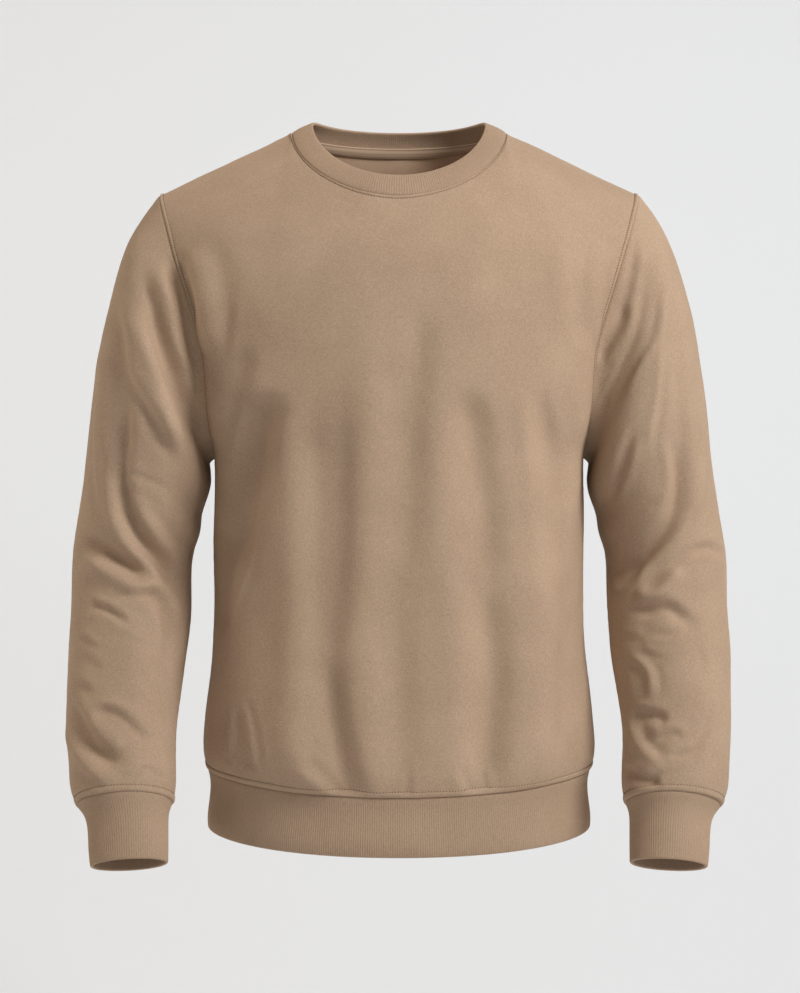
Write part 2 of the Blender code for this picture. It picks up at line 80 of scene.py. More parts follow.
# A level of the body: half_width and side_z place its side seam, the next four its middle in
# front and behind; box is how square it is, swell how far its sides swell. Here and below, parts
# is how many steps of the solids' grid lead to the next one
Level = namedtuple("Level", "half_width side_z front front_z back back_z box swell parts")
BODY = [
    Level(181.0, -597, 120, -610, 121, -605, 0.64, 0.000, 1),
    Level(185.0, -587, 125, -599, 126, -594, 0.64, 0.000, 1),
    Level(185.5, -570, 127, -581, 128, -576, 0.64, 0.000, 2),
    Level(183.0, -537, 125, -545, 125, -541, 0.64, 0.000, 3),
    Level(176.5, -484, 121, -488, 119, -486, 0.64, 0.000, 3),
    Level(175.0, -415, 120, -417, 115, -416, 0.64, 0.000, 3),
    Level(175.5, -350, 121, -350, 119, -350, 0.63, 0.010, 2),
    Level(174.0, -306, 122, -304, 126, -302, 0.62, 0.045, 0),
]
HEM_BAND = [
    BODY[0]._replace(parts=1),
    Level(178.5, -608, 119, -621, 120, -616, 0.64, 0.000, 1),
    Level(179.0, -626, 121, -639, 122, -634, 0.64, 0.000, 1),
    Level(181.0, -645, 123, -656, 124, -652, 0.64, 0.000, 1),
    Level(180.5, -653, 122, -663, 123, -659, 0.64, 0.000, 0),
]

# A row of a panel between its armholes: x, y, z is its end, mid_y, mid_z its middle; lean and
# reach are how it sets off from its end
Row = namedtuple("Row", "x y z mid_y mid_z lean reach parts")
FRONT_ARMHOLE = [
    Row(-174.5, -25, -292, -123, -283, -0.030, 0.55, 1),
    Row(-176.5, -42, -276, -124, -262, -0.030, 0.50, 1),
    Row(-178.0, -55, -253, -125, -240, -0.025, 0.48, 1),
    Row(-179.5, -62, -226, -125, -217, -0.015, 0.45, 2),
    Row(-184.0, -66, -194, -124, -193, 0.010, 0.42, 2),
    Row(-193.0, -65, -164, -122, -170, 0.040, 0.42, 0),
]
BACK_ARMHOLE = [
    Row(-174.5, 24, -292, 129, -278, -0.030, 0.60, 1),
    Row(-176.5, 42, -276, 133, -252, -0.030, 0.55, 1),
    Row(-178.0, 56, -253, 135, -223, -0.025, 0.50, 1),
    Row(-180.0, 64, -226, 136, -194, -0.015, 0.48, 2),
    Row(-184.5, 68, -194, 135, -164, 0.010, 0.45, 2),
    Row(-193.0, 67, -164, 131, -134, 0.040, 0.45, 0),
]
PANEL_BOX = 0.6  # how square those rows are
UNDERARM_PARTS = 1
PANEL_SOFT = 3 * FINE  # how often a panel's inner points are drawn to their neighbours

# The top of a panel: lift and reach are how stiffly it leaves the rows and meets the seams, and
# the slopes in degrees are how steeply it meets them
Yoke = namedtuple("Yoke", "lift reach tip_slope neck_slope centre_slope")
FRONT_YOKE = Yoke(0.38, 0.30, 4, 30, 62)
BACK_YOKE = Yoke(0.38, 0.32, 4, 28, 74)

# A ring of a sleeve or cuff: its outer and inner ends, how far it reaches to the front and the
# back, and by how many degrees its front is tipped up
Ring = namedtuple("Ring", "outer_x outer_z inner_x inner_z y front back pitch parts")
SLEEVE = [
    Ring(-248.0, -86, -180.5, -312, 2, 74, 75, 0, 1),
    Ring(-262.0, -118, -179.5, -321, 0, 80, 79, 0, 2),
    Ring(-277.0, -172, -179.5, -333, 0, 82, 79, 0, 2),
    Ring(-287.0, -224, -183.5, -346, 3, 80, 77, 0, 2),
    Ring(-293.5, -272, -188.5, -360, 7, 77, 75, 0, 2),
    Ring(-298.5, -320, -190.5, -376, 8, 74, 72, 0, 2),
    Ring(-304.5, -360, -195.5, -392, 9, 71, 69, 3, 2),
    Ring(-309.5, -398, -198.0, -412, 6, 67, 66, 10, 3),
    Ring(-309.5, -440, -197.5, -446, -6, 62, 62, 20, 3),
    Ring(-308.5, -497, -200.5, -500, -30, 56, 56, 24, 3),
    Ring(-305.5, -550, -205.0, -551, -54, 53, 53, 24, 2),
    Ring(-301.0, -589, -203.5, -588, -71, 50, 50, 24, 2),
    Ring(-297.0, -612, -203.5, -608, -81, 47, 47, 24, 1),
    Ring(-291.0, -623, -205.0, -618, -86, 43, 43, 24, 0),
]
SLEEVE_TOP_PARTS = 1
CUFF = [
    SLEEVE[-1]._replace(parts=1),
    Ring(-284.5, -630, -207.5, -625, -89, 38, 38, 24, 1),
    Ring(-280.5, -640, -208.0, -636, -93, 34, 34, 23, 1),
    Ring(-278.0, -659, -207.0, -655, -101, 31, 31, 22, 1),
    Ring(-275.5, -674, -206.5, -669, -107, 30, 30, 21, 0),
]

# ---------------------------------------------------------------- folds

# The folds' lines, widths and depths were drawn and graded. ridge is how far the cloth
# stands out along a fold's line, or sinks if negative; step is how far it stands out on the left
# of the line's way and sinks on the right; width is how far from its line a fold has mostly died
# away; path is the line, as x, z pairs seen from the front.
Fold = namedtuple("Fold", "ridge step width path")


def folds(*rows):
    """Folds from rows of their ridge, step and width and then the x and z of each point."""
    return [Fold(*row[:3], np.reshape(row[3:], (-1, 2))) for row in rows]


FRONT_FOLDS = folds(
    (-7, 6, 22, -105, -245, -109, -265, -117, -284, -123, -307, -128, -332, -133, -363, -138, -391,
     -143, -423),
    (0, -1, 4, -107, -274, -113, -304, -120, -341, -127, -381, -134, -411, -144, -435, -151, -466),
    (0, 0.3, 4, -102, -261, -106, -292, -110, -320, -115, -350, -121, -377),
    (2, -3.5, 20, -93, -230, -89, -283, -86, -319, -84, -372, -83, -426, -84, -479, -85, -523,
     -85, -563, -77, -589, -65, -617),
    (0, 1.5, 14, -43, -221, -43, -301, -43, -345, -44, -385, -46, -434, -51, -479, -53, -514),
    (-4, 3, 14, -52, -479, -53, -514, -50, -545, -45, -568, -39, -591, -28, -622),
    (1, -2, 20, -20, -159, -18, -221, -15, -292, -16, -345, -19, -399, -20, -452, -19, -514,
     -18, -557, -11, -593, -4, -629),
    (-2, 1.2, 16, 29, -164, 26, -190, 23, -226, 20, -257, 18, -292, 17, -328, 17, -363, 15, -399,
     12, -443),
    (-1, 0.8, 16, 13, -399, 10, -452, 10, -487, 12, -531, 14, -566, 13, -629),
    (0, -1.5, 18, 42, -239, 48, -301, 50, -345, 51, -390, 54, -434, 57, -479, 58, -523, 55, -567,
     58, -625),
    (-4, 3, 18, 50, -237, 65, -257, 73, -274, 77, -294, 81, -319, 85, -345, 87, -381, 88, -408,
     88, -435),
    (-6, 4, 18, 87, -399, 88, -435, 90, -470, 93, -506, 91, -532, 88, -559, 84, -590, 79, -626),
    (2, -3, 14, 113, -240, 119, -274, 121, -300, 124, -327, 127, -354, 131, -386, 135, -422),
    (5, -4, 22, 130, -381, 137, -427, 140, -472, 138, -517, 135, -561, 133, -616),
    (0, 1, 9, 132, -242, 138, -273, 144, -300, 148, -327, 150, -359),
    (2, -2.5, 11, 177, -240, 171, -276, 166, -299, 165, -327, 161, -359, 162, -401),
    (0, 1, 9, 182, -96, 176, -126, 173, -147, 172, -170, 175, -191, 180, -213),
    (0, -1, 12, 157, -95, 152, -138, 154, -174, 158, -210),
    (3, -3, 14, -182, -108, -172, -137, -167, -165, -165, -192, -165, -215),
    (-1.5, 2, 7, -197, -113, -191, -143, -186, -163, -183, -188),
    (0, 0.8, 6, -146, -164, -149, -184, -152, -203, -156, -219),
    (-2, 1.5, 12, -130, -207, -135, -227, -140, -247, -145, -266, -153, -287),
    (0, -0.5, 4, -135, -247, -143, -275, -150, -298, -159, -323),
    (0, 0.5, 6, -145, -251, -152, -277, -162, -304),
    (-4, 1.5, 14, -153, -364, -158, -401, -161, -438, -163, -475),
    (0, -0.8, 5, -147, -532, -150, -556, -153, -581),
    (-1, 0.8, 7, -144, -531, -139, -560, -132, -590),
    (0, -0.6, 5, -140, -524, -131, -554, -126, -588),
    (0, 0.5, 4, -135, -521, -126, -552, -120, -589),
    (0, -0.9, 5, -157, -580, -144, -585, -129, -594),
    (0, 0.5, 6, 153, -538, 145, -564, 141, -594),
    (0, -0.5, 4, 150, -547, 152, -572, 158, -601),
    (0, -0.5, 4, 128, -539, 128, -565, 128, -597),
    (0, -1.5, 7, -88, -580, -70, -594, -52, -617),
    (0, 0.7, 4, 10, -578, 11, -597, 11, -622),
    (0, -1, 6, 50, -582, 58, -598, 63, -623),
    (0, 0.7, 4, 76, -583, 80, -599, 83, -623),
    (0, -0.9, 5, 199, -107, 193, -134, 187, -161, 185, -188, 184, -215),
)
BACK_FOLDS = folds(
    (-3.8, 2.4, 18, -70, -322, -76, -400, -74, -480, -62, -560, -58, -632),
    (-1.6, -2.6, 15, -44, -404, -50, -470, -46, -540, -34, -630),
    (-2.4, -3.2, 17, 8, -236, 12, -330, 6, -420, 10, -520, 4, -632),
    (-4.2, 2.8, 19, 70, -296, 82, -370, 86, -450, 72, -540, 68, -632),
    (2.6, 1.8, 14, 38, -310, 46, -400, 42, -490, 34, -566),
    (3.2, -1.4, 15, -30, -290, -37, -380, -36, -460, -28, -560),
    (-1.4, 2.2, 12, 108, -430, 116, -500, 112, -570, 106, -632),
    (-2.2, 2.4, 12, -188, -150, -176, -196, -160, -246, -146, -300),
    (-2.8, -1.8, 13, 187, -140, 176, -196, 166, -240, 150, -296),
    (-1.6, 1.2, 9, -168, -190, -150, -232, -132, -276),
    (2.2, -1.2, 9, 170, -178, 152, -226, 130, -270),
    (2.5, 1.4, 11, -118, -250, -130, -318, -128, -372, -120, -430),
    (2.5, 0.8, 8, -120, -520, -125, -560, -118, -612),
    (-2.2, 1.2, 7, 120, -512, 126, -556, 122, -612),
    (-1.2, 0.9, 5, -96, -548, -90, -580, -88, -620),
    (1.3, -0.8, 5, 26, -556, 22, -584, 24, -622),
)
RIGHT_SLEEVE_FOLDS = folds(
    (2.2, -3.8, 9, -218, -115, -211, -144, -204, -162, -200, -181, -197, -199, -192, -217,
     -188, -237),
    (0, 3, 8, -233, -120, -227, -146, -222, -160, -217, -184, -213, -201, -207, -221, -200, -239,
     -194, -252, -186, -266),
    (3, -4.5, 11, -241, -147, -235, -176, -229, -193, -224, -207, -219, -222, -213, -238,
     -208, -256, -203, -273, -198, -290, -191, -313),
    (0, 3, 9, -265, -150, -255, -177, -250, -195, -248, -213, -245, -229, -237, -243, -229, -256,
     -221, -269, -213, -285, -205, -300, -196, -320),
    (0, -3, 12, -269, -193, -266, -244, -265, -281, -263, -313),
    (3.5, -3, 9, -264, -281, -263, -318, -261, -341, -258, -359, -250, -375, -242, -387, -233, -398,
     -225, -408, -217, -419, -206, -431),
    (-3, 2.5, 9, -245, -236, -245, -273, -247, -295, -250, -316, -250, -334, -247, -351),
    (-5, 3.5, 9, -250, -327, -248, -347, -241, -367, -233, -381, -224, -393, -214, -405, -207, -416,
     -199, -432),
    (0, -1.5, 8, -234, -351, -222, -367, -212, -383, -204, -397),
    (0, 0.4, 3.5, -250, -315, -232, -322, -212, -330),
    (0, -0.4, 3.5, -248, -323, -230, -330, -210, -339),
    (0, 0.4, 3.5, -246, -334, -228, -342, -212, -351),
    (0, 1, 4, -280, -239, -282, -271, -283, -294, -283, -318, -280, -338, -275, -358),
    (0, -0.4, 4, -292, -260, -295, -293, -292, -331),
    (-5, 3, 9, -305, -392, -289, -383, -276, -384, -266, -390, -256, -398, -247, -404, -238, -410,
     -227, -416),
    (4, -3.5, 10, -302, -402, -280, -400, -267, -406, -256, -411, -244, -417, -232, -421,
     -220, -419),
    (0, 2.2, 6, -263, -425, -250, -430, -237, -430, -229, -428, -220, -432, -213, -441, -209, -456),
    (0, 2.7, 7, -213, -438, -209, -456, -207, -475, -206, -504),
    (0, -1.8, 7, -266, -437, -250, -434, -237, -434, -227, -440, -220, -448, -216, -461, -214, -478,
     -212, -501),
    (0, 1.7, 4.5, -286, -437, -274, -440, -264, -444, -254, -450, -243, -456),
    (0, -0.9, 5, -288, -447, -273, -448, -262, -452, -249, -459),
    (0, 1, 4, -293, -467, -282, -474, -271, -479),
    (0, 0.6, 4.5, -265, -464, -252, -466, -241, -471, -230, -476, -219, -482),
    (0, 0.8, 6, -288, -484, -276, -491, -265, -498),
    (0, 0.4, 4, -250, -502, -238, -501, -226, -499),
    (0, 1.2, 6, -299, -506, -285, -512, -272, -518),
    (-2.2, 2, 5, -279, -535, -267, -532, -257, -532, -249, -536, -241, -542, -234, -549, -226, -556,
     -215, -562),
    (0, -0.9, 7, -265, -524, -247, -526, -234, -532, -224, -540, -216, -550, -209, -564),
    (0, -1.5, 8, -278, -537, -264, -544, -252, -552, -240, -563),
    (-5, 3, 9, -304, -518, -293, -534, -286, -543, -278, -553, -270, -562, -261, -568, -250, -572,
     -236, -571),
    (0, -2.5, 8, -306, -544, -293, -560, -283, -570, -271, -578, -259, -584, -245, -582),
    (0, 0.9, 3, -251, -583, -243, -588, -236, -588, -230, -583, -224, -582, -219, -586, -213, -591,
     -205, -591),
    (0, -0.8, 3, -250, -590, -241, -592, -234, -591, -228, -587, -222, -587, -217, -592, -211, -595,
     -204, -595),
    (0, 0.9, 5, -283, -584, -271, -592, -257, -599),
)
LEFT_SLEEVE_FOLDS = folds(
    (0, 1.4, 5, 222, -103, 218, -129, 213, -151, 209, -166, 206, -181),
    (-2.2, 2.7, 7, 210, -162, 206, -181, 199, -195, 192, -208, 185, -226),
    (0, -1, 4, 228, -120, 221, -155, 217, -176, 211, -198, 203, -217, 195, -236, 187, -253,
     183, -277),
    (0, 1.4, 5, 242, -140, 238, -167, 235, -186, 229, -203, 221, -216, 213, -230, 207, -242,
     202, -257),
    (0, -1.4, 5, 249, -133, 247, -170, 243, -195, 240, -216, 238, -238, 235, -262, 231, -286,
     229, -314),
    (0, 1.5, 8, 259, -151, 258, -199, 259, -236, 261, -263, 264, -295),
    (-8, 4.5, 10, 262, -258, 265, -295, 265, -318, 263, -338, 259, -356, 250, -374, 238, -389,
     227, -401, 216, -412, 205, -424, 194, -434),
    (0, -2.1, 8, 279, -225, 287, -271, 287, -308, 282, -345, 275, -371),
    (0, -1.8, 7, 243, -282, 249, -309, 252, -327, 248, -345, 236, -356),
    (0, -0.4, 3.5, 220, -354, 234, -350, 249, -346),
    (0, 1.5, 6, 216, -285, 211, -306, 207, -322, 203, -336, 199, -355),
    (0, -1.2, 6, 214, -276, 205, -296, 201, -311, 197, -333),
    (0, -2, 7, 274, -353, 262, -375, 251, -389, 240, -399, 229, -410, 221, -424),
    (0, 0.4, 3.5, 242, -409, 254, -398, 266, -391, 275, -388),
    (-1.5, 1.5, 4, 268, -392, 278, -388, 287, -386, 296, -390, 308, -400),
    (0, -1.4, 5, 244, -417, 258, -403, 267, -397, 277, -393, 288, -395, 299, -403),
    (4.5, -3, 9, 217, -427, 229, -430, 238, -426, 247, -415, 257, -403),
    (-3.5, 2.5, 7, 210, -440, 224, -443, 234, -441, 244, -440, 253, -444, 263, -451, 278, -457),
    (0, -0.6, 5, 225, -459, 234, -451, 243, -449, 255, -453),
    (0, 1, 4, 231, -466, 245, -465, 256, -462, 267, -457, 281, -455),
    (0, -0.8, 4, 219, -473, 233, -470, 245, -470, 260, -467),
    (0, 0.9, 5, 203, -469, 214, -470, 224, -469),
    (0, 0.9, 3.5, 219, -479, 230, -484, 238, -486, 248, -486),
    (0, -0.9, 5, 211, -485, 222, -491, 229, -497, 232, -508, 231, -525),
    (0, 1.5, 6, 208, -490, 220, -498, 224, -510, 222, -528),
    (0, -0.6, 5, 205, -532, 215, -531, 225, -526, 241, -525),
    (-3.2, 2.1, 6, 211, -536, 222, -537, 231, -537, 243, -540),
    (0, -2.6, 7, 210, -538, 214, -551, 219, -562, 226, -570, 238, -578),
    (0, 1.8, 4.5, 226, -558, 237, -553, 245, -551, 257, -555),
    (0, 0.8, 4, 238, -571, 251, -569, 263, -566),
    (0, -1.4, 5, 236, -574, 249, -574, 260, -573, 268, -568, 274, -558, 280, -543, 285, -522),
    (0, 1.9, 6.5, 298, -510, 293, -537, 288, -554, 279, -564, 270, -571, 255, -579),
    (0, 1, 3.5, 226, -585, 237, -586, 248, -583),
    (-3.2, 2.2, 6, 202, -588, 212, -589, 222, -592, 232, -590),
    (0, 0.6, 5, 274, -476, 277, -490, 277, -508),
)
SLEEVE_BACK_FOLDS = folds(
    (-3, 2, 10, -238, -146, -228, -182, -214, -218, -200, -262, -192, -300),
    (2.4, 1.6, 8, -258, -152, -246, -198, -232, -240, -216, -280),
    (-5.4, -3.4, 12, -200, -306, -222, -330, -244, -356, -270, -372, -300, -380),
    (4.2, 2, 9, -200, -336, -222, -366, -250, -390, -288, -404),
    (-3.4, -2, 8, -202, -372, -226, -398, -262, -420, -296, -424),
    (1.8, 1.2, 5, -214, -404, -240, -424, -266, -436),
    (-2.6, -1.6, 7, -208, -456, -236, -474, -270, -480, -300, -474),
    (1.8, 1.4, 6, -214, -486, -246, -500, -282, -496),
    (-4.2, -2.4, 9, -206, -524, -234, -544, -268, -552, -302, -540),
    (2, 1.6, 5, -220, -560, -246, -570, -276, -564),
    (-1.8, -1.2, 5, -210, -580, -238, -588, -268, -582),
)
FOLD_END = 0.22  # share of a fold's length over which each end dies away
FOLD_STEPS = 6  # steps of its smooth line from one point to the next
FOLD_TURN = 0.35  # folds die away where the cloth turns to the side
STEP_PEAK = np.sqrt(2 * np.e)  # makes the highest point of a step its own height
FOLD_REACH = 3  # a fold is worked out this many of its widths from its line
SEAM_HOLD = 7  # from a seam to where the cloth is free to fold, nearer than in the solids

DENSE = 200  # points of a curve before it is spaced evenly
SPLINE_EVENNESS = 0.8  # 1 spaces a spline's keys by distance, 0 evenly
LOOP_LEAD = 3  # keys by which a closed spline overlaps itself

# ---------------------------------------------------------------- finer form

STEP = 3.0  # between grid points
# Grid lines beside a seam, by their distance from it
NEAR_SEAM = (0, 0.6, 1.2, 2.0, 2.9, 3.7, 4.5, 5.3, 6.2, 7.5, 9.5)
BAND_NEAR_SEAM = NEAR_SEAM[:4]
WELT = 3.7  # from a topstitched seam to its stitches
WIDE_WELT = 6.2  # the same over the hem band and the cuffs
WELT_RISE = 0.9  # how far the turned cloth under the stitches lifts the face
WELT_START = 1.6  # from the seam to where it is fully lifted
WELT_PAST = 0.9  # from the stitches to where the turned cloth ends
WELT_FALL = 1.8  # over which its lift dies away before that
SEAM_DEPTH = 0.75  # how far the face dips into a seam
SEAM_WIDTH = 1.1
GROOVE_DEPTH = 0.55  # how far stitches draw the face in
GROOVE_WIDTH = 0.8

RIB_COLUMNS = 4  # grid points across a rib
RIB_HEIGHT = 0.45
RIB_SUNK = 0.6  # share of their height that lies below the band's face
RIB_BACK = 0.5  # their height on the back, as a share of that on the face
RIB_AT_SEAM = 0.5  # share of their height that the ribs have at the seam
RIB_FADE = 0.2  # share of the band over which they reach their whole height
RIB_ROW = 4.0  # between rows of a band
RIM_ROWS = 5  # rows round the folded edge of a band
CUFF_RIBS, HEM_RIBS, COLLAR_RIBS = 100, 480, 250

STITCH_PITCH = 2.7
STITCH_LENGTH = 1.1
STITCH_RADIUS = 0.5
STITCH_LIFT = 0.1  # of a stitch's middle over the cloth
STITCH_SIDES = 6  # of its cross-section
STITCH_RINGS = ((-1, 0.35), (-0.7, 1), (0.7, 1), (1, 0.35))  # place along it, width there
STITCH_END = np.array([[0, 1, 2, 3], [0, 3, 4, 5]])  # the two faces that close an end
TAPE_ROW = 1.2  # between rows of the tape
TAPE_UNDER = 3 * FINE  # rows of the back that the tape's lower part is taken from
TAPE_STITCH_ROWS = (2, -2)  # rows of the tape that its stitches lie on

# Slight unevenness of hanging cloth: shortest and longest wave, and how far it moves the face
Waves = namedtuple("Waves", "shortest longest height seed")
HANG = Waves(40, 110, 0.3, 3)
NAP = Waves(5, 14, 0.05, 5)
WAVE_COUNT = 28


def unit(vector):
    """Vectors of length 1 along the last axis."""
    return vector / np.linalg.norm(vector, axis=-1, keepdims=True)


def smooth(value):
    """Rises from 0 to 1 with level ends as value does."""
    value = np.clip(value, 0, 1)
    return value * value * (3 - 2 * value)


def finer(parts):
    """Steps of the solids' grid as steps of the fine one."""
    return [FINE * count for count in parts]


def spline(keys, parts):
    """Points on a natural cubic spline through keys, with parts[i] steps from key i to the next."""
    keys = np.asarray(keys, float)
    gaps = np.linalg.norm(np.diff(keys, axis=0), axis=1)
    step = (gaps**SPLINE_EVENNESS)[:, None]
    slope = np.diff(keys, axis=0) / step
    matrix = np.eye(len(keys))
    bend = np.zeros_like(keys)
    for i in range(1, len(keys) - 1):
        matrix[i, i - 1 : i + 2] = step[i - 1, 0], 2 * (step[i - 1, 0] + step[i, 0]), step[i, 0]
        bend[i] = 6 * (slope[i] - slope[i - 1])
    bend = np.linalg.solve(matrix, bend)
    found = [keys[:1]]
    for i, count in enumerate(parts):
        b = (np.arange(1, count + 1) / count)[:, None]
        a = 1 - b
        curve = ((a**3 - a) * bend[i] + (b**3 - b) * bend[i + 1]) * step[i] ** 2 / 6
        found.append(a * keys[i] + b * keys[i + 1] + curve)
    return np.concatenate(found)


def bezier(first, second, third, fourth, t):
    """Points of a cubic Bezier curve; t has one more axis than the four points."""
    curve = (1 - t) ** 3 * first + 3 * t * (1 - t) ** 2 * second
    return curve + 3 * t**2 * (1 - t) * third + t**3 * fourth


def even(points, count):
    """count + 1 points at equal distances along a dense polyline."""
    gone = np.concatenate([[0.0], np.cumsum(np.linalg.norm(np.diff(points, axis=0), axis=1))])
    wanted = np.linspace(0, gone[-1], count + 1)
    return np.stack([np.interp(wanted, gone, points[:, axis]) for axis in range(3)], axis=1)


def mirrored(half):
    """A row from the wearer's right edge to the left edge, from its right half."""
    return np.concatenate([half, half[-2::-1] * (-1, 1, 1)])


def half_row(edge, middle, lean, reach, box):
    """Half a row, from its edge to the centre line, as one Bezier curve with even steps."""
    edge, middle = np.asarray(edge, float), np.asarray(middle, float)
    first = edge * (1 - lean, 1, 1) + (0, reach * (middle[1] - edge[1]), 0)
    second = middle + (box * edge[0], 0, 0)
    t = np.linspace(0, 1, DENSE)[:, None]
    return even(bezier(edge, first, second, middle, t), HALF_PARTS)


def level_row(level, side):
    """The front (side -1) or back (side 1) half of a body level, from right to left."""
    depth, z = (level.front, level.front_z) if side < 0 else (level.back, level.back_z)
    edge = (-level.half_width, 0, level.side_z)
    return mirrored(half_row(edge, (0, side * depth, z), -level.swell, level.box, level.box))


def level_ring(level):
    """A whole body level as a closed ring, from the right side by the front."""
    return np.concatenate([level_row(level, -1), level_row(level, 1)[-2:0:-1]])


def softened(grid, times):
    """The grid with each row's inner points drawn to their neighbours, times[i] times in row i."""
    grid = grid.copy()
    for turn in range(int(times.max())):
        rows = times > turn
        row = grid[rows]
        grid[rows, 1:-1] = (row[:, :-2] + 2 * row[:, 1:-1] + row[:, 2:]) / 4
    return grid


def opening_half(opening):
    """Half a neck opening, from the wearer's right side to the centre, with even steps."""
    turn = np.linspace(0, np.pi / 2, DENSE)
    sine, cosine = np.sin(turn), np.cos(turn)
    drop = (opening.z - opening.side_z) * sine**opening.dip
    points = np.stack([-opening.half_width * cosine, opening.y * sine, opening.side_z + drop], 1)
    return even(points, NECK_PARTS)


def opening_ring(front, back):
    """A whole neck opening as a closed ring, from the right side by the front."""
    return np.concatenate([mirrored(opening_half(front)), mirrored(opening_half(back))[-2:0:-1]])


def yoke_rows(below, last, opening, yoke, side):
    """Rows from the last armhole row to the top edge: the shoulder seams and the neck seam."""
    neck = opening_half(opening)
    shoulder = np.linspace(TIP, neck[0], SHOULDER_PARTS + 1)
    top = mirrored(np.concatenate([shoulder[:-1], neck]))
    way = np.linalg.norm(top - last, axis=1, keepdims=True)
    rising = unit(last - below)
    share = 1 - np.abs(np.linspace(-1, 1, len(top)))
    at = (0, SHOULDER_PARTS / HALF_PARTS, 1)
    slope = np.radians(np.interp(share, at, (yoke.tip_slope, yoke.neck_slope, yoke.centre_slope)))
    arriving = np.stack([0 * slope, -side * np.cos(slope), np.sin(slope)], axis=1)
    count = YOKE_PARTS * FINE
    t = (np.arange(1, count + 1) / count)[:, None, None]
    return bezier(last, last + yoke.lift * way * rising, top - yoke.reach * way * arriving, top, t)


def panel(side, armhole, opening, yoke):
    """The front or back as a grid of points, with rows from the hem seam up, and its armhole."""
    rows = [level_row(level, side) for level in BODY]
    for row in armhole:
        edge, middle = (row.x, row.y, row.z), (0, row.mid_y, row.mid_z)
        rows.append(mirrored(half_row(edge, middle, row.lean, row.reach, PANEL_BOX)))
    body_parts = finer(level.parts for level in BODY[:-1])
    arm_parts = finer([UNDERARM_PARTS, *(row.parts for row in armhole[:-1])])
    grid = tube(rows, body_parts + arm_parts)
    grid[:, 0] = np.concatenate(
        [spline([r[0] for r in rows[: len(BODY)]], body_parts), grid[sum(body_parts) + 1 :, 0]]
    )
    yoke_grid = yoke_rows(grid[-1 - FINE], grid[-1], opening, yoke, side)
    armhole_keys = [r[0] for r in rows[len(BODY) - 1 :]] + list(yoke_grid[FINE - 1 :: FINE, 0])
    grid = np.concatenate([grid, yoke_grid])
    row = np.arange(len(grid))
    grid = softened(grid, np.minimum(np.minimum(row, row[::-1]), PANEL_SOFT))
    columns = grid.swapaxes(0, 1)
    times = np.where(np.arange(len(columns)) % (len(columns) - 1), PANEL_SOFT, 0)
    grid = softened(columns, times).swapaxes(0, 1)
    return grid, armhole_keys, arm_parts + finer([1] * YOKE_PARTS)


def armhole_loop(front_keys, back_keys, parts):
    """The right armhole from the shoulder tip down the front, and up the back to the tip."""
    loop = np.concatenate([front_keys[::-1], back_keys[1:]])
    keys = np.concatenate([loop[-1 - LOOP_LEAD : -1], loop, loop[1 : 1 + LOOP_LEAD]])
    lead = finer([1] * LOOP_LEAD)
    return spline(keys, lead + parts[::-1] + parts + lead)[sum(lead) : -sum(lead)]


def set_armhole(grid, edge):
    """Puts a panel's two side columns on the armhole, edge from the underarm up, and its mirror."""
    rows = len(edge)
    grid[-rows:, 0] = edge
    grid[:, -1] = grid[:, 0] * (-1, 1, 1)


def sleeve_ring(ring, count):
    """Points round a sleeve or cuff ring, from its outer point by the front to the inner one."""
    outer = np.array([ring.outer_x, ring.y, ring.outer_z], float)
    inner = np.array([ring.inner_x, ring.y, ring.inner_z], float)
    pitch = np.radians(ring.pitch)
    forward = np.array([0, -np.cos(pitch), np.sin(pitch)])
    turn = np.linspace(0, 2 * np.pi, count, endpoint=False)
    depth = np.where(np.sin(turn) > 0, ring.front, ring.back) * np.sin(turn)
    across = np.cos(turn)[:, None] * (outer - inner) / 2
    return (outer + inner) / 2 + across + depth[:, None] * forward


def tube(keys, parts):
    """Rows of points through key rows, one spline for each column."""
    keys = np.array(keys)
    return np.stack([spline(keys[:, c], parts) for c in range(keys.shape[1])], axis=1)


def normals_of(grid, closed):
    """Unit normals of a grid of points, by the cross product of its two directions."""
    if closed:
        across = np.roll(grid, -1, axis=1) - np.roll(grid, 1, axis=1)
    else:
        across = np.gradient(grid, axis=1)
    return unit(np.cross(across, np.gradient(grid, axis=0)))


# ---------------------------------------------------------------- finer grids


def lengths_down(grid):
    """How far each grid point is from the first row, along its column."""
    steps = np.linalg.norm(np.diff(grid[..., :3], axis=0, prepend=grid[:1, :, :3]), axis=2)
    return np.cumsum(steps, axis=0)


def stations(length, step, first, last):
    """Distances down columns of these lengths: as first and last say at the ends, else even."""
    first, last = np.array(first, float)[:, None], np.array(last, float)[::-1, None]
    start, stop = first[-1:].sum(), last[:1].sum()
    count = max(2, round((length.mean() - start - stop) / step))
    middle = start + np.linspace(0, 1, count + 1)[:, None] * (length - start - stop)
    return np.concatenate([first[:-1] + 0 * length, middle, length - last[1:]])


def sampled(grid, where, closed):
    """Grid values at fractional rows, on a Catmull-Rom spline down each column."""
    if closed:
        padded = np.concatenate([grid[-1:], grid, grid[:2]])
    else:
        padded = np.concatenate([2 * grid[:1] - grid[1:2], grid, 2 * grid[-1:] - grid[-2:-1]])
    row = np.clip(np.floor(where), 0, len(padded) - 4).astype(int)
    t = (where - row)[..., None]
    a, b, c, d = (np.take_along_axis(padded, (row + i)[..., None], axis=0) for i in range(4))
    rise = (3 * (b - c) + d - a) * t + 2 * a - 5 * b + 4 * c - d
    return b + ((rise * t + c - a) * t) / 2


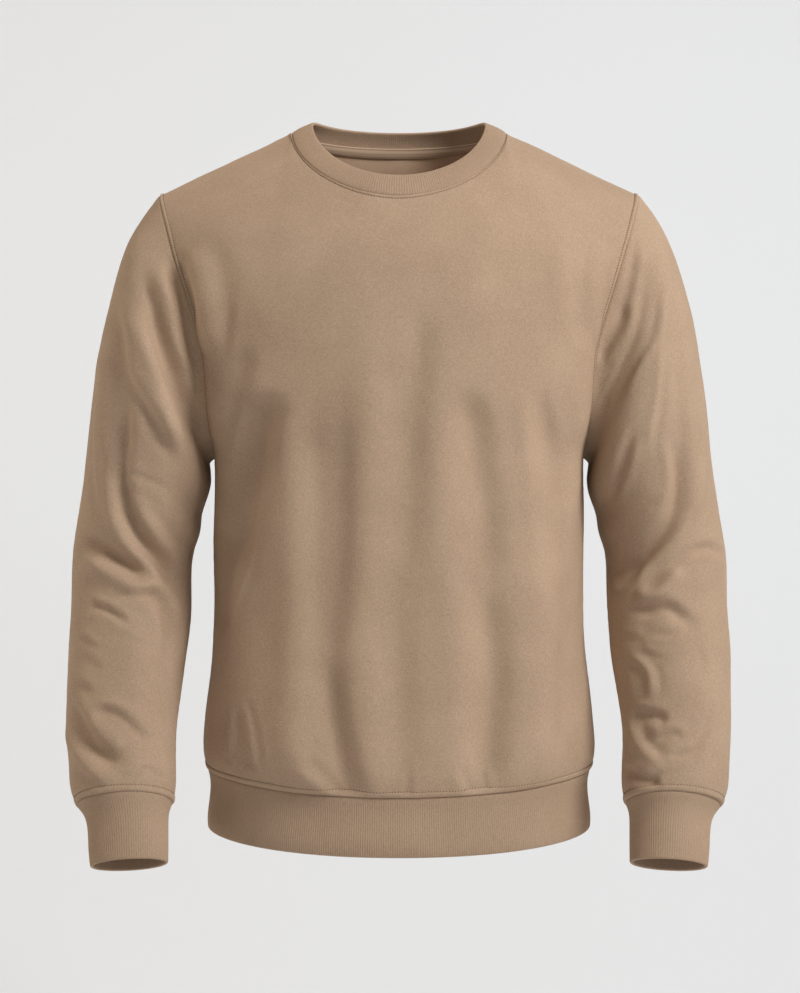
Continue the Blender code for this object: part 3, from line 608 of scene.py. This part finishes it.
def respaced(grid, step, first=(), last=(), closed=False, count=None):
    """The grid with new rows, as stations says, or count even ones round a closed grid."""
    ring = np.concatenate([grid, grid[:1]]) if closed else grid
    gone = lengths_down(ring)
    if count:
        wanted = np.arange(count)[:, None] / count * gone[-1]
    else:
        wanted = stations(gone[-1], step, first, last)
    rows = np.arange(len(gone))
    where = np.stack([np.interp(w, g, rows) for w, g in zip(wanted.T, gone.T)], axis=1)
    return sampled(grid, where, closed)


def across(grid, *args, **named):
    """respaced, for the columns."""
    return respaced(grid.swapaxes(0, 1), *args, **named).swapaxes(0, 1)


def joined(*grids):
    """Grids that share an edge row, as one."""
    return np.concatenate([grids[0], *(g[1:] for g in grids[1:])])


# ---------------------------------------------------------------- folds and seams


def fold_height(fold, points):
    """How far a fold moves each point out, from its place beside the fold's line."""
    line = spline(fold.path, [FOLD_STEPS] * (len(fold.path) - 1))
    start, step = line[:-1], np.diff(line, axis=0)
    offset = points[:, None, ::2] - start
    along = np.clip((offset * step).sum(-1) / (step**2).sum(-1), 0, 1)
    away = np.linalg.norm(offset - along[..., None] * step, axis=-1)
    nearest = away.argmin(-1)[:, None]
    share = (nearest + np.take_along_axis(along, nearest, -1))[:, 0] / len(step)
    ends = smooth(share / FOLD_END) * smooth((1 - share) / FOLD_END)
    turn = step[:, 0] * offset[..., 1] - step[:, 1] * offset[..., 0]
    left = np.sign(np.take_along_axis(turn, nearest, -1))[:, 0]
    away = away.min(-1) / fold.width
    return ends * np.exp(-(away**2)) * (fold.ridge + fold.step * STEP_PEAK * away * left)


def fold_shift(points, folds):
    """How far the folds move each grid point out."""
    flat = points.reshape(-1, 3)
    shift = np.zeros(len(flat))
    for fold in folds:
        room = FOLD_REACH * fold.width
        low, high = fold.path.min(0) - room, fold.path.max(0) + room
        near = np.flatnonzero(((flat[:, ::2] > low) & (flat[:, ::2] < high)).all(1))
        shift[near] += fold_height(fold, flat[near])
    return shift.reshape(points.shape[:2])


def waves(points, kind):
    """A smooth uneven field over space, as a sum of plane waves."""
    random = np.random.default_rng(kind.seed)
    way = unit(random.normal(size=(WAVE_COUNT, 3)))
    size = random.uniform(kind.shortest, kind.longest, WAVE_COUNT)
    phase = random.uniform(0, 2 * np.pi, WAVE_COUNT)
    height = kind.height / np.sqrt(WAVE_COUNT / 2)
    return height * np.sin(points @ (way * (2 * np.pi / size)[:, None]).T + phase).sum(-1)


def seam_dip(away):
    """The face's height beside a plain seam."""
    return -SEAM_DEPTH * np.exp(-((away / SEAM_WIDTH) ** 2))


def welt(away, width=WELT):
    """The face's height beside a topstitched seam: a soft roll, then the groove of the stitches."""
    roll = WELT_RISE * smooth(away / WELT_START) * smooth((width + WELT_PAST - away) / WELT_FALL)
    groove = GROOVE_DEPTH * np.exp(-(((away - width) / GROOVE_WIDTH) ** 2))
    return seam_dip(away) + roll - groove


class Cloth:
    """A piece of cloth: its face and back as grids of points, from its base grid.

    base holds for each point its place and the direction of the cloth's thickness. closed says that
    its columns run all round.
    """

    def __init__(self, name, base, thickness, closed=False, flip=False):
        self.name, self.thickness, self.closed, self.flip = name, thickness, closed, flip
        self.points, self.out = base[..., :3], unit(base[..., 3:])
        down, over = lengths_down(self.points), lengths_down(self.points.swapaxes(0, 1)).T
        self.down, self.over = down, over
        self.from_first, self.from_last = down, down[-1] - down
        self.from_left, self.from_right = over, over[:, -1:] - over
        self.lift = np.zeros(down.shape)  # of the face and the back alike
        self.relief = np.zeros(down.shape)  # of the face alone
        self.hollow = np.zeros(down.shape)  # of the back alone, into the cloth

    def fold(self, folds, side):
        """Presses folds into the front (side -1) or the back (side 1)."""
        edge = np.minimum(self.from_first, self.from_last)
        if not self.closed:
            edge = np.minimum(edge, np.minimum(self.from_left, self.from_right))
        free = smooth(edge / SEAM_HOLD) * smooth(side * self.out[..., 1] / FOLD_TURN)
        self.lift += free * fold_shift(self.points, folds)

    def hang(self):
        """Adds the slight unevenness of hanging cloth and of its nap."""
        self.lift += waves(self.points, HANG)
        self.relief += waves(self.points, NAP)

    def face(self):
        return self.points + self.out * (self.lift + self.relief)[..., None]

    def back(self):
        return self.points + self.out * (self.lift + self.hollow - self.thickness)[..., None]


# ---------------------------------------------------------------- meshes


def rounded_rim(face, back):
    """Rows round a folded edge, from the last row of the face to the last row of the back."""
    middle, reach = (face[-1] + back[-1]) / 2, (face[-1] - back[-1]) / 2
    ahead = unit(face[-1] - face[-2]) * np.linalg.norm(reach, axis=1, keepdims=True)
    turn = np.linspace(0, np.pi, RIM_ROWS + 2)[1:-1, None, None]
    return middle + reach * np.cos(turn) + ahead * np.sin(turn)


def wall(cloth, face, back, rim=None):
    """Points, faces, their map corners and the number of rows on the face of a closed wall."""
    rows, columns = face.shape[:2]
    over, down = cloth.over, cloth.down
    if rim is None:
        rim = np.zeros((0, columns, 3))
    points = np.concatenate([face, rim, back[::-1]])
    total = len(points)
    u = np.concatenate([over, np.repeat(over[-1:], len(rim), axis=0), over[::-1]])
    beyond = np.linspace(0, cloth.thickness, len(rim) + 2)[1:-1, None]
    v = np.concatenate([down, down[-1:] + beyond, down[::-1]])
    last = columns if cloth.closed else columns - 1
    step = u[:, -1:] - u[:, -2:-1]
    u, v = np.hstack([u, u[:, -1:] + step]), np.hstack([v, v[:, :1]])
    r, c = (a.ravel() for a in np.meshgrid(np.arange(total), np.arange(last), indexing="ij"))
    corners = [(r, c), (r, c + 1), (r + 1, c + 1), (r + 1, c)]
    if cloth.flip:
        corners.reverse()
    faces = np.stack([(i % total) * columns + j % columns for i, j in corners], axis=1)
    places = np.stack([np.stack([u[i % total, j], v[i % total, j]], 1) for i, j in corners], 1)
    if not cloth.closed:
        r = np.arange(rows - 1)
        for column, turned in ((0, cloth.flip), (columns - 1, not cloth.flip)):
            ring = [r, r + 1, total - 2 - r, total - 1 - r]
            if not turned:
                ring.reverse()
            faces = np.concatenate([faces, np.stack([i * columns + column for i in ring], 1)])
            side = np.stack([np.stack([u[i, column], v[i, column]], 1) for i in ring], 1)
            places = np.concatenate([places, side])
    return points, faces, places, rows + len(rim) // 2


def add_object(name, data):
    """A new object in the scene."""
    made = bpy.data.objects.new(name, data)
    bpy.context.scene.collection.objects.link(made)
    return made


def add_mesh(name, points, faces, looks):
    """A smooth mesh object from points in millimetres."""
    mesh = bpy.data.meshes.new(name)
    mesh.from_pydata((points.reshape(-1, 3) * MM).tolist(), [], faces.tolist())
    for look in looks:
        mesh.materials.append(look)
    mesh.shade_smooth()
    return add_object(name, mesh)


def add_piece(name, points, faces, looks):
    """A mesh object that rides on the body."""
    made = add_mesh(name, points, faces, looks)
    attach(made, "root")
    return made


def add_cloth(cloth, looks, node, rim=False):
    """The shell of a piece of cloth, in place of its solid. looks are those of face and back."""
    face, back = cloth.face(), cloth.back()
    edge = rounded_rim(face, back) if rim else None
    points, faces, places, turned = wall(cloth, face, back, edge)
    made = add_piece(cloth.name, points, faces, looks)
    layer = made.data.uv_layers.new(name=CLOTH_MAP)
    layer.uv.foreach_set("vector", (places.reshape(-1) * MM).astype(np.float32))
    kinds = faces.min(axis=1) // face.shape[1] >= turned
    made.data.polygons.foreach_set("material_index", kinds.astype(np.int32))
    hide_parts(node)


# ---------------------------------------------------------------- sewing


def add_stitches(name, lines, look):
    """Short rounded bars of thread, one after another along each line, as one mesh.

    A line is its points and the way out of the cloth at each.
    """
    length = STITCH_LENGTH / 2
    along, wide = np.array(STITCH_RINGS).T * ((length,), (STITCH_RADIUS,))
    turn = np.linspace(0, 2 * np.pi, STITCH_SIDES, endpoint=False)
    found = []
    for points, out in lines:
        gone = lengths_down(points[:, None])[:, 0]
        at = np.arange(STITCH_PITCH / 2, gone[-1], STITCH_PITCH)
        place, ahead, behind, up = (
            np.stack([np.interp(at + shift, gone, values[:, i]) for i in range(3)], 1)
            for shift, values in ((0, points), (length, points), (-length, points), (0, out))
        )
        way = unit(ahead - behind)
        side = unit(np.cross(way, up))
        up = np.cross(side, way)
        round_it = side[:, None] * np.cos(turn)[:, None] + up[:, None] * np.sin(turn)[:, None]
        rings = place[:, None, None] + way[:, None, None] * along[:, None, None]
        found.append(rings + round_it[:, None] * wide[:, None, None])
    bars = np.concatenate(found)
    count = len(bars)
    gaps = len(STITCH_RINGS) - 1
    ring, spot = (a.ravel() for a in np.meshgrid(range(gaps), range(STITCH_SIDES), indexing="ij"))
    first, after = ring * STITCH_SIDES, (spot + 1) % STITCH_SIDES
    second = first + STITCH_SIDES
    sides = np.stack([first + spot, first + after, second + after, second + spot], 1)
    bar = np.concatenate([sides, STITCH_END[:, ::-1], STITCH_END + gaps * STITCH_SIDES])
    each = len(STITCH_RINGS) * STITCH_SIDES
    faces = (bar[None] + each * np.arange(count)[:, None, None]).reshape(-1, 4)
    add_piece(name, bars, faces, [look])


# ---------------------------------------------------------------- materials

CLOTH_MAP = "Cloth"
FACE_LIGHT = (0.505, 0.361, 0.251)
FACE_DARK = (0.370, 0.258, 0.174)
# Inside fleece: its own colours, made lighter than the face's as painted light that stands in for
# light reaching the inside of the neck; used on every inner face of the body and sleeves
BACK_LIGHT_WITH_PAINTED_LIGHT = (0.68, 0.486, 0.338)
BACK_DARK_WITH_PAINTED_LIGHT = (0.59, 0.412, 0.282)
RIB_LIGHT = (0.458, 0.324, 0.223)
RIB_DARK = (0.352, 0.244, 0.164)
TAPE_LIGHT = (0.58, 0.424, 0.303)
TAPE_DARK = (0.50, 0.360, 0.252)
# Stitch colour: painted shade, dark to stand in for the shade in the needle holes and the gaps
# between stitches
THREAD_WITH_PAINTED_SHADE = (0.170, 0.112, 0.073)

WALE = 1.0  # width of a column of knit stitches
COURSE = 0.75  # height of a row of them
SPECKLE, SPECKLE_DETAIL, SPECKLE_SHARE = 1.3, 4.0, 2.2  # size, and how far they vary the colour
CLOUD, CLOUD_SHARE = 55.0, 0.9
FUZZ, FUZZ_DETAIL = 0.5, 3.0
SPECULAR = 0.2
SHEEN_ROUGHNESS = 0.5

# How cloth looks: colours, bump of the knit and of the nap, roughness and sheen
Look = namedtuple("Look", "light dark knit nap rough sheen")
LOOKS = {
    "fleece_face": Look(FACE_LIGHT, FACE_DARK, 0.14, 0.26, 0.92, 0.25),
    # the inside fleece, with painted light in its lightened colours
    "fleece_back_painted_light": Look(BACK_LIGHT_WITH_PAINTED_LIGHT, BACK_DARK_WITH_PAINTED_LIGHT, 0.02, 0.30, 0.95, 0.40),
    "rib_knit_look": Look(RIB_LIGHT, RIB_DARK, 0.14, 0.16, 0.92, 0.20),
    "tape_look": Look(TAPE_LIGHT, TAPE_DARK, 0.15, 0.04, 0.85, 0.15),
    # the stitches, dark with painted shade
    "thread_painted_shade_look": Look(THREAD_WITH_PAINTED_SHADE, THREAD_WITH_PAINTED_SHADE, 0.0, 0.05, 0.80, 0.10),
}


class Nodes:
    """The node tree of a new material, with short ways to add nodes."""

    def __init__(self, name):
        self.material = bpy.data.materials.new(name)
        self.material.use_nodes = True
        self.tree = self.material.node_tree
        self.shader = self.tree.nodes["Principled BSDF"]

    def put(self, socket, value):
        if isinstance(value, bpy.types.NodeSocket):
            self.tree.links.new(value, socket)
        else:
            socket.default_value = value

    def set_inputs(self, node, **inputs):
        for name, value in inputs.items():
            self.put(node.inputs[name.replace("_", " ")], value)
        return node

    def add(self, kind, **inputs):
        return self.set_inputs(self.tree.nodes.new(kind), **inputs)

    def math(self, operation, *values):
        node = self.tree.nodes.new("ShaderNodeMath")
        node.operation = operation
        for socket, value in zip(node.inputs, values):
            self.put(socket, value)
        return node.outputs[0]

    def mix(self, factor, first, second):
        node = self.tree.nodes.new("ShaderNodeMix")
        node.data_type = "RGBA"
        self.put(node.inputs["Factor"], factor)
        self.put(node.inputs[6], first)
        self.put(node.inputs[7], second)
        return node.outputs[2]

    def noise(self, place, size, detail=2.0):
        """Noise with features of about this size in millimetres, from 0 to 1."""
        node = self.add("ShaderNodeTexNoise", Vector=place, Scale=1 / (size * MM), Detail=detail)
        return node.outputs["Fac"]


def knit_height(nodes):
    """Small v-shaped stitches in columns, by the cloth's own map."""
    place = nodes.tree.nodes.new("ShaderNodeUVMap")
    place.uv_map = CLOTH_MAP
    split = nodes.add("ShaderNodeSeparateXYZ", Vector=place.outputs[0])
    over = nodes.math("MULTIPLY", split.outputs[0], 1 / (WALE * MM))
    down = nodes.math("MULTIPLY", split.outputs[1], 1 / (COURSE * MM))
    slant = nodes.math("PINGPONG", over, 0.5)
    row = nodes.math("FRACT", nodes.math("ADD", down, slant))
    loop = nodes.math("SINE", nodes.math("MULTIPLY", row, np.pi))
    wale = nodes.math("SQRT", nodes.math("MULTIPLY", slant, 2.0))
    return nodes.math("MULTIPLY", loop, wale)


def cloth_look(name, look):
    """Cloth: knit stitches under a nap, with colour that varies from yarn to yarn and over it."""
    nodes = Nodes(name)
    where = nodes.tree.nodes.new("ShaderNodeTexCoord").outputs["Object"]
    colour = (*look.light, 1)
    if look.light != look.dark:
        speckle = nodes.noise(where, SPECKLE, SPECKLE_DETAIL)
        cloud = nodes.noise(where, CLOUD)
        strong = nodes.math("SUBTRACT", speckle, 0.5)
        strong = nodes.math("MULTIPLY_ADD", strong, SPECKLE_SHARE, 0.5)
        mixed = nodes.math("SUBTRACT", cloud, 0.5)
        mixed = nodes.math("MULTIPLY_ADD", mixed, CLOUD_SHARE, strong)
        colour = nodes.mix(mixed, (*look.dark, 1), colour)
    fuzz = nodes.noise(where, FUZZ, FUZZ_DETAIL)
    knit = nodes.math("MULTIPLY", knit_height(nodes), look.knit)
    height = nodes.math("MULTIPLY_ADD", fuzz, look.nap, knit)
    bump = nodes.add("ShaderNodeBump", Height=height, Distance=MM, Strength=1.0)
    nodes.set_inputs(
        nodes.shader,
        Base_Color=colour,
        Normal=bump.outputs[0],
        Roughness=look.rough,
        Specular_IOR_Level=SPECULAR,
        Sheen_Weight=look.sheen,
        Sheen_Roughness=SHEEN_ROUGHNESS,
        Sheen_Tint=(*look.light, 1),
    )
    return nodes.material


def studio_look(name):
    """Matt paper that glows a little."""
    nodes = Nodes(name)
    nodes.set_inputs(
        nodes.shader,
        Base_Color=(*PAPER, 1),
        Roughness=1.0,
        Specular_IOR_Level=0.0,
        Emission_Color=(*PAPER_TINT, 1),
        Emission_Strength=PAPER_GLOW,
    )
    return nodes.material


# ---------------------------------------------------------------- the garment


def with_directions(pieces):
    """Base grids with the thickness direction beside each place.

    pieces lists name: (grid, closed, flip, sewn). Points that pieces share get one direction, so
    that their walls meet in a mitre. Where front and back both meet a ring, they count as one.
    """
    panels, rings, found = {}, {}, {}
    for name, (grid, closed, flip, sewn) in pieces.items():
        normal = normals_of(grid, closed) * (-1 if flip else 1)
        places = seam_places(grid, sewn)
        found[name] = normal, places
        total = rings if closed else panels
        for place in places:
            key = tuple(np.round(grid[place], 3))
            total[key] = total.get(key, 0) + normal[place]
    made = {}
    for name, (grid, *_) in pieces.items():
        normal, places = found[name]
        for place in places:
            key = tuple(np.round(grid[place], 3))
            normal[place] = unit(sum(unit(t[key]) for t in (panels, rings) if key in t))
        made[name] = np.concatenate([grid, normal], axis=2)
    return made


def seam_places(grid, sewn):
    """The grid positions that lie on a seam."""
    rows, columns = grid.shape[:2]
    found = []
    if "first" in sewn:
        found += [(0, c) for c in range(columns)]
    if "last" in sewn:
        found += [(rows - 1, c) for c in range(columns)]
    if "sides" in sewn:
        found += [(r, c) for r in range(1, rows - 1) for c in (0, columns - 1)]
    return found


def base_grids():
    """The garment's form, without its folds."""
    front, front_edge, arm_parts = panel(-1, FRONT_ARMHOLE, NECK_FRONT, FRONT_YOKE)
    back, back_edge, _ = panel(1, BACK_ARMHOLE, NECK_BACK, BACK_YOKE)
    loop = armhole_loop(front_edge, back_edge, arm_parts)
    half_loop = sum(arm_parts)
    set_armhole(front, loop[half_loop::-1])
    set_armhole(back, loop[half_loop:])

    count = 2 * half_loop
    ring_keys = [loop[:-1], *(sleeve_ring(ring, count) for ring in SLEEVE)]
    sleeve = tube(ring_keys, finer([SLEEVE_TOP_PARTS, *(ring.parts for ring in SLEEVE[:-1])]))
    cuff = tube([sleeve_ring(ring, count) for ring in CUFF], finer(r.parts for r in CUFF[:-1]))
    hem = tube([level_ring(level) for level in HEM_BAND], finer(l.parts for l in HEM_BAND[:-1]))

    seam, fold = opening_ring(NECK_FRONT, NECK_BACK), opening_ring(FOLD_FRONT, FOLD_BACK)
    for _ in range(COLLAR_SOFT):
        fold = (np.roll(fold, 1, axis=0) + 2 * fold + np.roll(fold, -1, axis=0)) / 4
    middle = (seam + fold) / 2
    out = middle - middle.mean(axis=0)
    middle += COLLAR_BULGE * unit(out)
    collar = tube([seam, middle, fold], [COLLAR_PARTS, COLLAR_PARTS])

    both, one = ("first", "last"), ("first",)
    return with_directions(
        {
            "front": (front, False, False, (*both, "sides")),
            "back": (back, False, True, (*both, "sides")),
            "sleeve_right": (sleeve, True, True, both),
            "sleeve_left": (sleeve * (-1, 1, 1), True, False, both),
            "cuff_right": (cuff, True, True, one),
            "cuff_left": (cuff * (-1, 1, 1), True, False, one),
            "hem_band": (hem, True, True, one),
            "collar": (collar, True, False, one),
        }
    )


def fine_panel(name, base, flip):
    """The front or back with even grid steps, and close ones beside its seams."""
    underarm = FINE * sum(level.parts for level in BODY[:-1])
    lower = respaced(base[: underarm + 1], STEP, first=NEAR_SEAM)
    upper = respaced(base[underarm:], STEP, last=NEAR_SEAM)
    grid = joined(lower, upper)
    left, right = SHOULDER_PARTS, SHOULDER_PARTS + 2 * NECK_PARTS
    columns = grid.swapaxes(0, 1)
    sides = respaced(columns[: left + 1], STEP, first=NEAR_SEAM)
    neck = respaced(columns[left : right + 1], STEP)
    others = respaced(columns[right:], STEP, last=NEAR_SEAM)
    cloth = Cloth(name, joined(sides, neck, others).swapaxes(0, 1), FLEECE, flip=flip)

    armhole = np.arange(len(cloth.points)) >= len(lower) - 1
    neck_columns = np.zeros(cloth.points.shape[1], bool)
    neck_columns[len(sides) - 1 : len(sides) + len(neck) - 1] = True
    cloth.armhole_rows, cloth.neck_columns = np.flatnonzero(armhole), np.flatnonzero(neck_columns)
    cloth.relief += welt(cloth.from_first, WIDE_WELT)
    cloth.relief += np.where(neck_columns, welt(cloth.from_last), seam_dip(cloth.from_last))
    for away in (cloth.from_left, cloth.from_right):
        cloth.relief += np.where(armhole[:, None], welt(away), seam_dip(away))
    return cloth


def fine_sleeve(name, base, flip):
    """A sleeve with even grid steps, close ones beside its seams, and the seam under the arm."""
    grid = respaced(base, STEP, first=NEAR_SEAM, last=NEAR_SEAM)
    half = base.shape[1] // 2
    ring = np.concatenate([grid, grid[:, :1]], axis=1)
    inner = across(ring[:, : half + 1], STEP, last=NEAR_SEAM)
    outer = across(ring[:, half:], STEP, first=NEAR_SEAM)
    grid = np.concatenate([inner, outer[:, 1:-1]], axis=1)
    cloth = Cloth(name, grid, FLEECE, closed=True, flip=flip)
    seam = cloth.over[:, inner.shape[1] - 1][:, None]
    cloth.relief += seam_dip(cloth.over - seam) + seam_dip(cloth.from_first)
    cloth.relief += welt(cloth.from_last, WIDE_WELT)
    return cloth


def fine_band(name, base, flip, ribs):
    """A rib band from its seam to its folded edge, with the ribs on its face and back."""
    grid = across(base, None, closed=True, count=ribs * RIB_COLUMNS)
    length = lengths_down(grid)[-1].mean()
    grid = respaced(grid, RIB_ROW, first=BAND_NEAR_SEAM)
    grid = shortened(grid, RIB / 2)
    cloth = Cloth(name, grid, RIB, closed=True, flip=flip)
    wave = np.abs(np.sin(np.pi * np.arange(grid.shape[1]) / RIB_COLUMNS))
    fade = RIB_AT_SEAM + (1 - RIB_AT_SEAM) * smooth(cloth.from_first / (RIB_FADE * length))
    ribs = RIB_HEIGHT * (wave - RIB_SUNK) * fade
    cloth.relief += ribs + seam_dip(cloth.from_first)
    cloth.hollow -= RIB_BACK * ribs
    return cloth


def shortened(grid, by):
    """The grid with its last row drawn back, so that the folded edge ends where the solid does."""
    grid = grid.copy()
    step = grid[-1, :, :3] - grid[-2, :, :3]
    grid[-1, :, :3] -= unit(step) * by
    return grid


def neck_tape(back, collar):
    """The tape over the back neck seam, along the inner faces of the back and the collar."""
    neck = slice(SHOULDER_PARTS, SHOULDER_PARTS + 2 * NECK_PARTS + 1)
    behind = [0, *range(collar.shape[1] - 1, 2 * NECK_PARTS - 1, -1)]
    below = respaced(back[: -2 - TAPE_UNDER : -1, neck], STEP, first=TAPE_BELOW)[: len(TAPE_BELOW)]
    above = respaced(collar[:, behind], STEP, first=TAPE_ABOVE)[: len(TAPE_ABOVE)]
    nearness = 1 - np.array(TAPE_BELOW) / TAPE_BELOW[-1]
    depth = np.concatenate([(FLEECE + (RIB - FLEECE) * nearness)[:0:-1], 0 * above[:, 0, 0] + RIB])
    rows = np.concatenate([below[:0:-1], above])
    places = rows[..., :3] - unit(rows[..., 3:]) * (depth + TAPE_GAP)[:, None, None]
    return np.concatenate([places, rows[..., 3:]], axis=2)


def add_garment():
    """All pieces of cloth, and their sewing."""
    base = base_grids()
    face, inside_painted_light, rib, tape_look, thread = (cloth_look(*each) for each in LOOKS.items())
    left_back_folds = [fold._replace(path=fold.path * (-1, 1)) for fold in SLEEVE_BACK_FOLDS]
    fleece = {
        "front": (fine_panel, False, FRONT_FOLDS, [], (0.53, 0.66), 0.27),
        "back": (fine_panel, True, [], BACK_FOLDS, (0.53, 0.70), 0.285),
        "sleeve_right": (
            fine_sleeve, True, RIGHT_SLEEVE_FOLDS, SLEEVE_BACK_FOLDS, (0.46, 0.60), 0.18
        ),
        "sleeve_left": (
            fine_sleeve, False, LEFT_SLEEVE_FOLDS, left_back_folds, (0.46, 0.60), 0.18
        ),
    }
    sewn = []
    for node, (fine, flip, ahead, behind, flat, area) in fleece.items():
        cloth = fine(node + "_shell", base[node], flip)
        cloth.fold(ahead, -1)
        cloth.fold(behind, 1)
        cloth.hang()
        add_cloth(cloth, [face, inside_painted_light], node)
        sewn.append(cloth)

    bands = {
        "cuff_right": (CUFF_RIBS, True, (0.21, 0.058)),
        "cuff_left": (CUFF_RIBS, False, (0.21, 0.058)),
        "hem_band": (HEM_RIBS, True, (1.02, 0.056)),
        "collar": (COLLAR_RIBS, False, (0.56, 0.024)),
    }
    for node, (ribs, flip, flat) in bands.items():
        cloth = fine_band(node + "_shell", base[node], flip, ribs)
        add_cloth(cloth, [rib, rib], node, rim=True)

    tape = across(respaced(neck_tape(base["back"], base["collar"]), TAPE_ROW), STEP)
    tape = Cloth("neck_tape_shell", tape, TAPE, flip=True)
    add_cloth(tape, [tape_look, tape_look], "neck_tape")

    add_sewing(*sewn, tape, thread)


def add_sewing(front, back, right, left, tape, look):
    """Stitches along the neck, the armholes, the hem and the cuffs, and both edges of the tape."""
    near, wide = NEAR_SEAM.index(WELT), NEAR_SEAM.index(WIDE_WELT)
    lines = {"neck": [], "armhole": [], "hem": [], "cuff": [], "tape": []}

    def sew(name, surface, out, rows, columns=slice(None)):
        out = out[rows, columns].reshape(-1, 3)
        lines[name].append((surface[rows, columns].reshape(-1, 3) + STITCH_LIFT * out, out))

    for cloth in (front, back):
        face = cloth.face()
        sew("neck", face, cloth.out, -1 - near, cloth.neck_columns)
        sew("hem", face, cloth.out, wide)
        sew("armhole", face, cloth.out, cloth.armhole_rows, near)
        sew("armhole", face, cloth.out, cloth.armhole_rows, -1 - near)
    for cloth in (right, left):
        sew("cuff", cloth.face(), cloth.out, -1 - wide)
    for row in TAPE_STITCH_ROWS:
        sew("tape", tape.back(), -tape.out, row)
    for name, found in lines.items():
        add_stitches(name + "_stitches", found, look)


# ---------------------------------------------------------------- studio

CAMERA_DISTANCE = 1.8
PIXEL = 0.00095  # metres across a pixel at the origin's depth
FRAME_HEIGHT = 993
EYE_LEVEL = -0.3422
SENSOR = 36.0

Light = namedtuple("Light", "name place target width height power colour")
LIGHTS = [
    Light("key", (1.63, -1.37, 1.14), (0, 0, -0.35), 1.0, 1.0, 62.0, (1.0, 1.0, 1.0)),
    Light("top", (-0.35, -0.95, 1.75), (0, 0, -0.05), 0.9, 0.6, 4.0, (1.0, 0.95, 0.88)),
    Light("fill", (-2.35, 0.2, 0.75), (0, 0, -0.35), 1.0, 1.2, 21.0, (1.0, 0.885, 0.757)),
]
AMBIENT = 0.25
AIR = (1.0, 0.91, 0.81)
FLOOR, FLOOR_FRONT, FLOOR_SIDE = -1250, -3200, 4200
WALL, WALL_TOP = 1900, 2600
SWEEP_RADIUS, SWEEP_POINTS = 900, 25
PAPER = (0.78, 0.78, 0.78)
PAPER_TINT = (0.70, 0.82, 0.95)  # of its glow
PAPER_GLOW = 0.185


def add_camera():
    """A level camera in front of the garment."""
    data = bpy.data.cameras.new("camera")
    data.sensor_width = SENSOR
    data.lens = SENSOR * CAMERA_DISTANCE / (FRAME_HEIGHT * PIXEL)
    camera = add_object("camera", data)
    camera.location = (PIXEL, -CAMERA_DISTANCE, EYE_LEVEL)
    camera.rotation_euler = (np.pi / 2, 0, 0)
    bpy.context.scene.camera = camera


def add_light(light):
    """A rectangular lamp that faces its target."""
    data = bpy.data.lights.new(light.name, "AREA")
    data.shape, data.size, data.size_y = "RECTANGLE", light.width, light.height
    data.energy, data.color = light.power, light.colour
    made = add_object(light.name, data)
    made.location = light.place
    aim = Vector(light.target) - Vector(light.place)
    made.rotation_euler = aim.to_track_quat("-Z", "Y").to_euler()


def add_studio():
    """A pale floor that sweeps up into a wall, well clear of the garment."""
    turn = np.linspace(0, np.pi / 2, SWEEP_POINTS)
    y = WALL - SWEEP_RADIUS + SWEEP_RADIUS * np.sin(turn)
    z = FLOOR + SWEEP_RADIUS - SWEEP_RADIUS * np.cos(turn)
    profile = [(FLOOR_FRONT, FLOOR), *zip(y, z), (WALL, WALL_TOP)]
    points = np.array([[(x, *at) for x in (-FLOOR_SIDE, FLOOR_SIDE)] for at in profile], float)
    r = np.arange(len(profile) - 1)
    faces = np.stack([2 * r, 2 * r + 1, 2 * r + 3, 2 * r + 2], 1)
    add_mesh("studio_floor", points, faces, [studio_look("studio_paper")])

    world = bpy.data.worlds.new("studio_air")
    world.use_nodes = True
    air = world.node_tree.nodes["Background"].inputs
    air["Color"].default_value = (*AIR, 1)
    air["Strength"].default_value = AMBIENT
    bpy.context.scene.world = world
    bpy.context.scene.view_settings.view_transform = "Standard"


add_garment()
add_camera()
for studio_light in LIGHTS:
    add_light(studio_light)
add_studio()
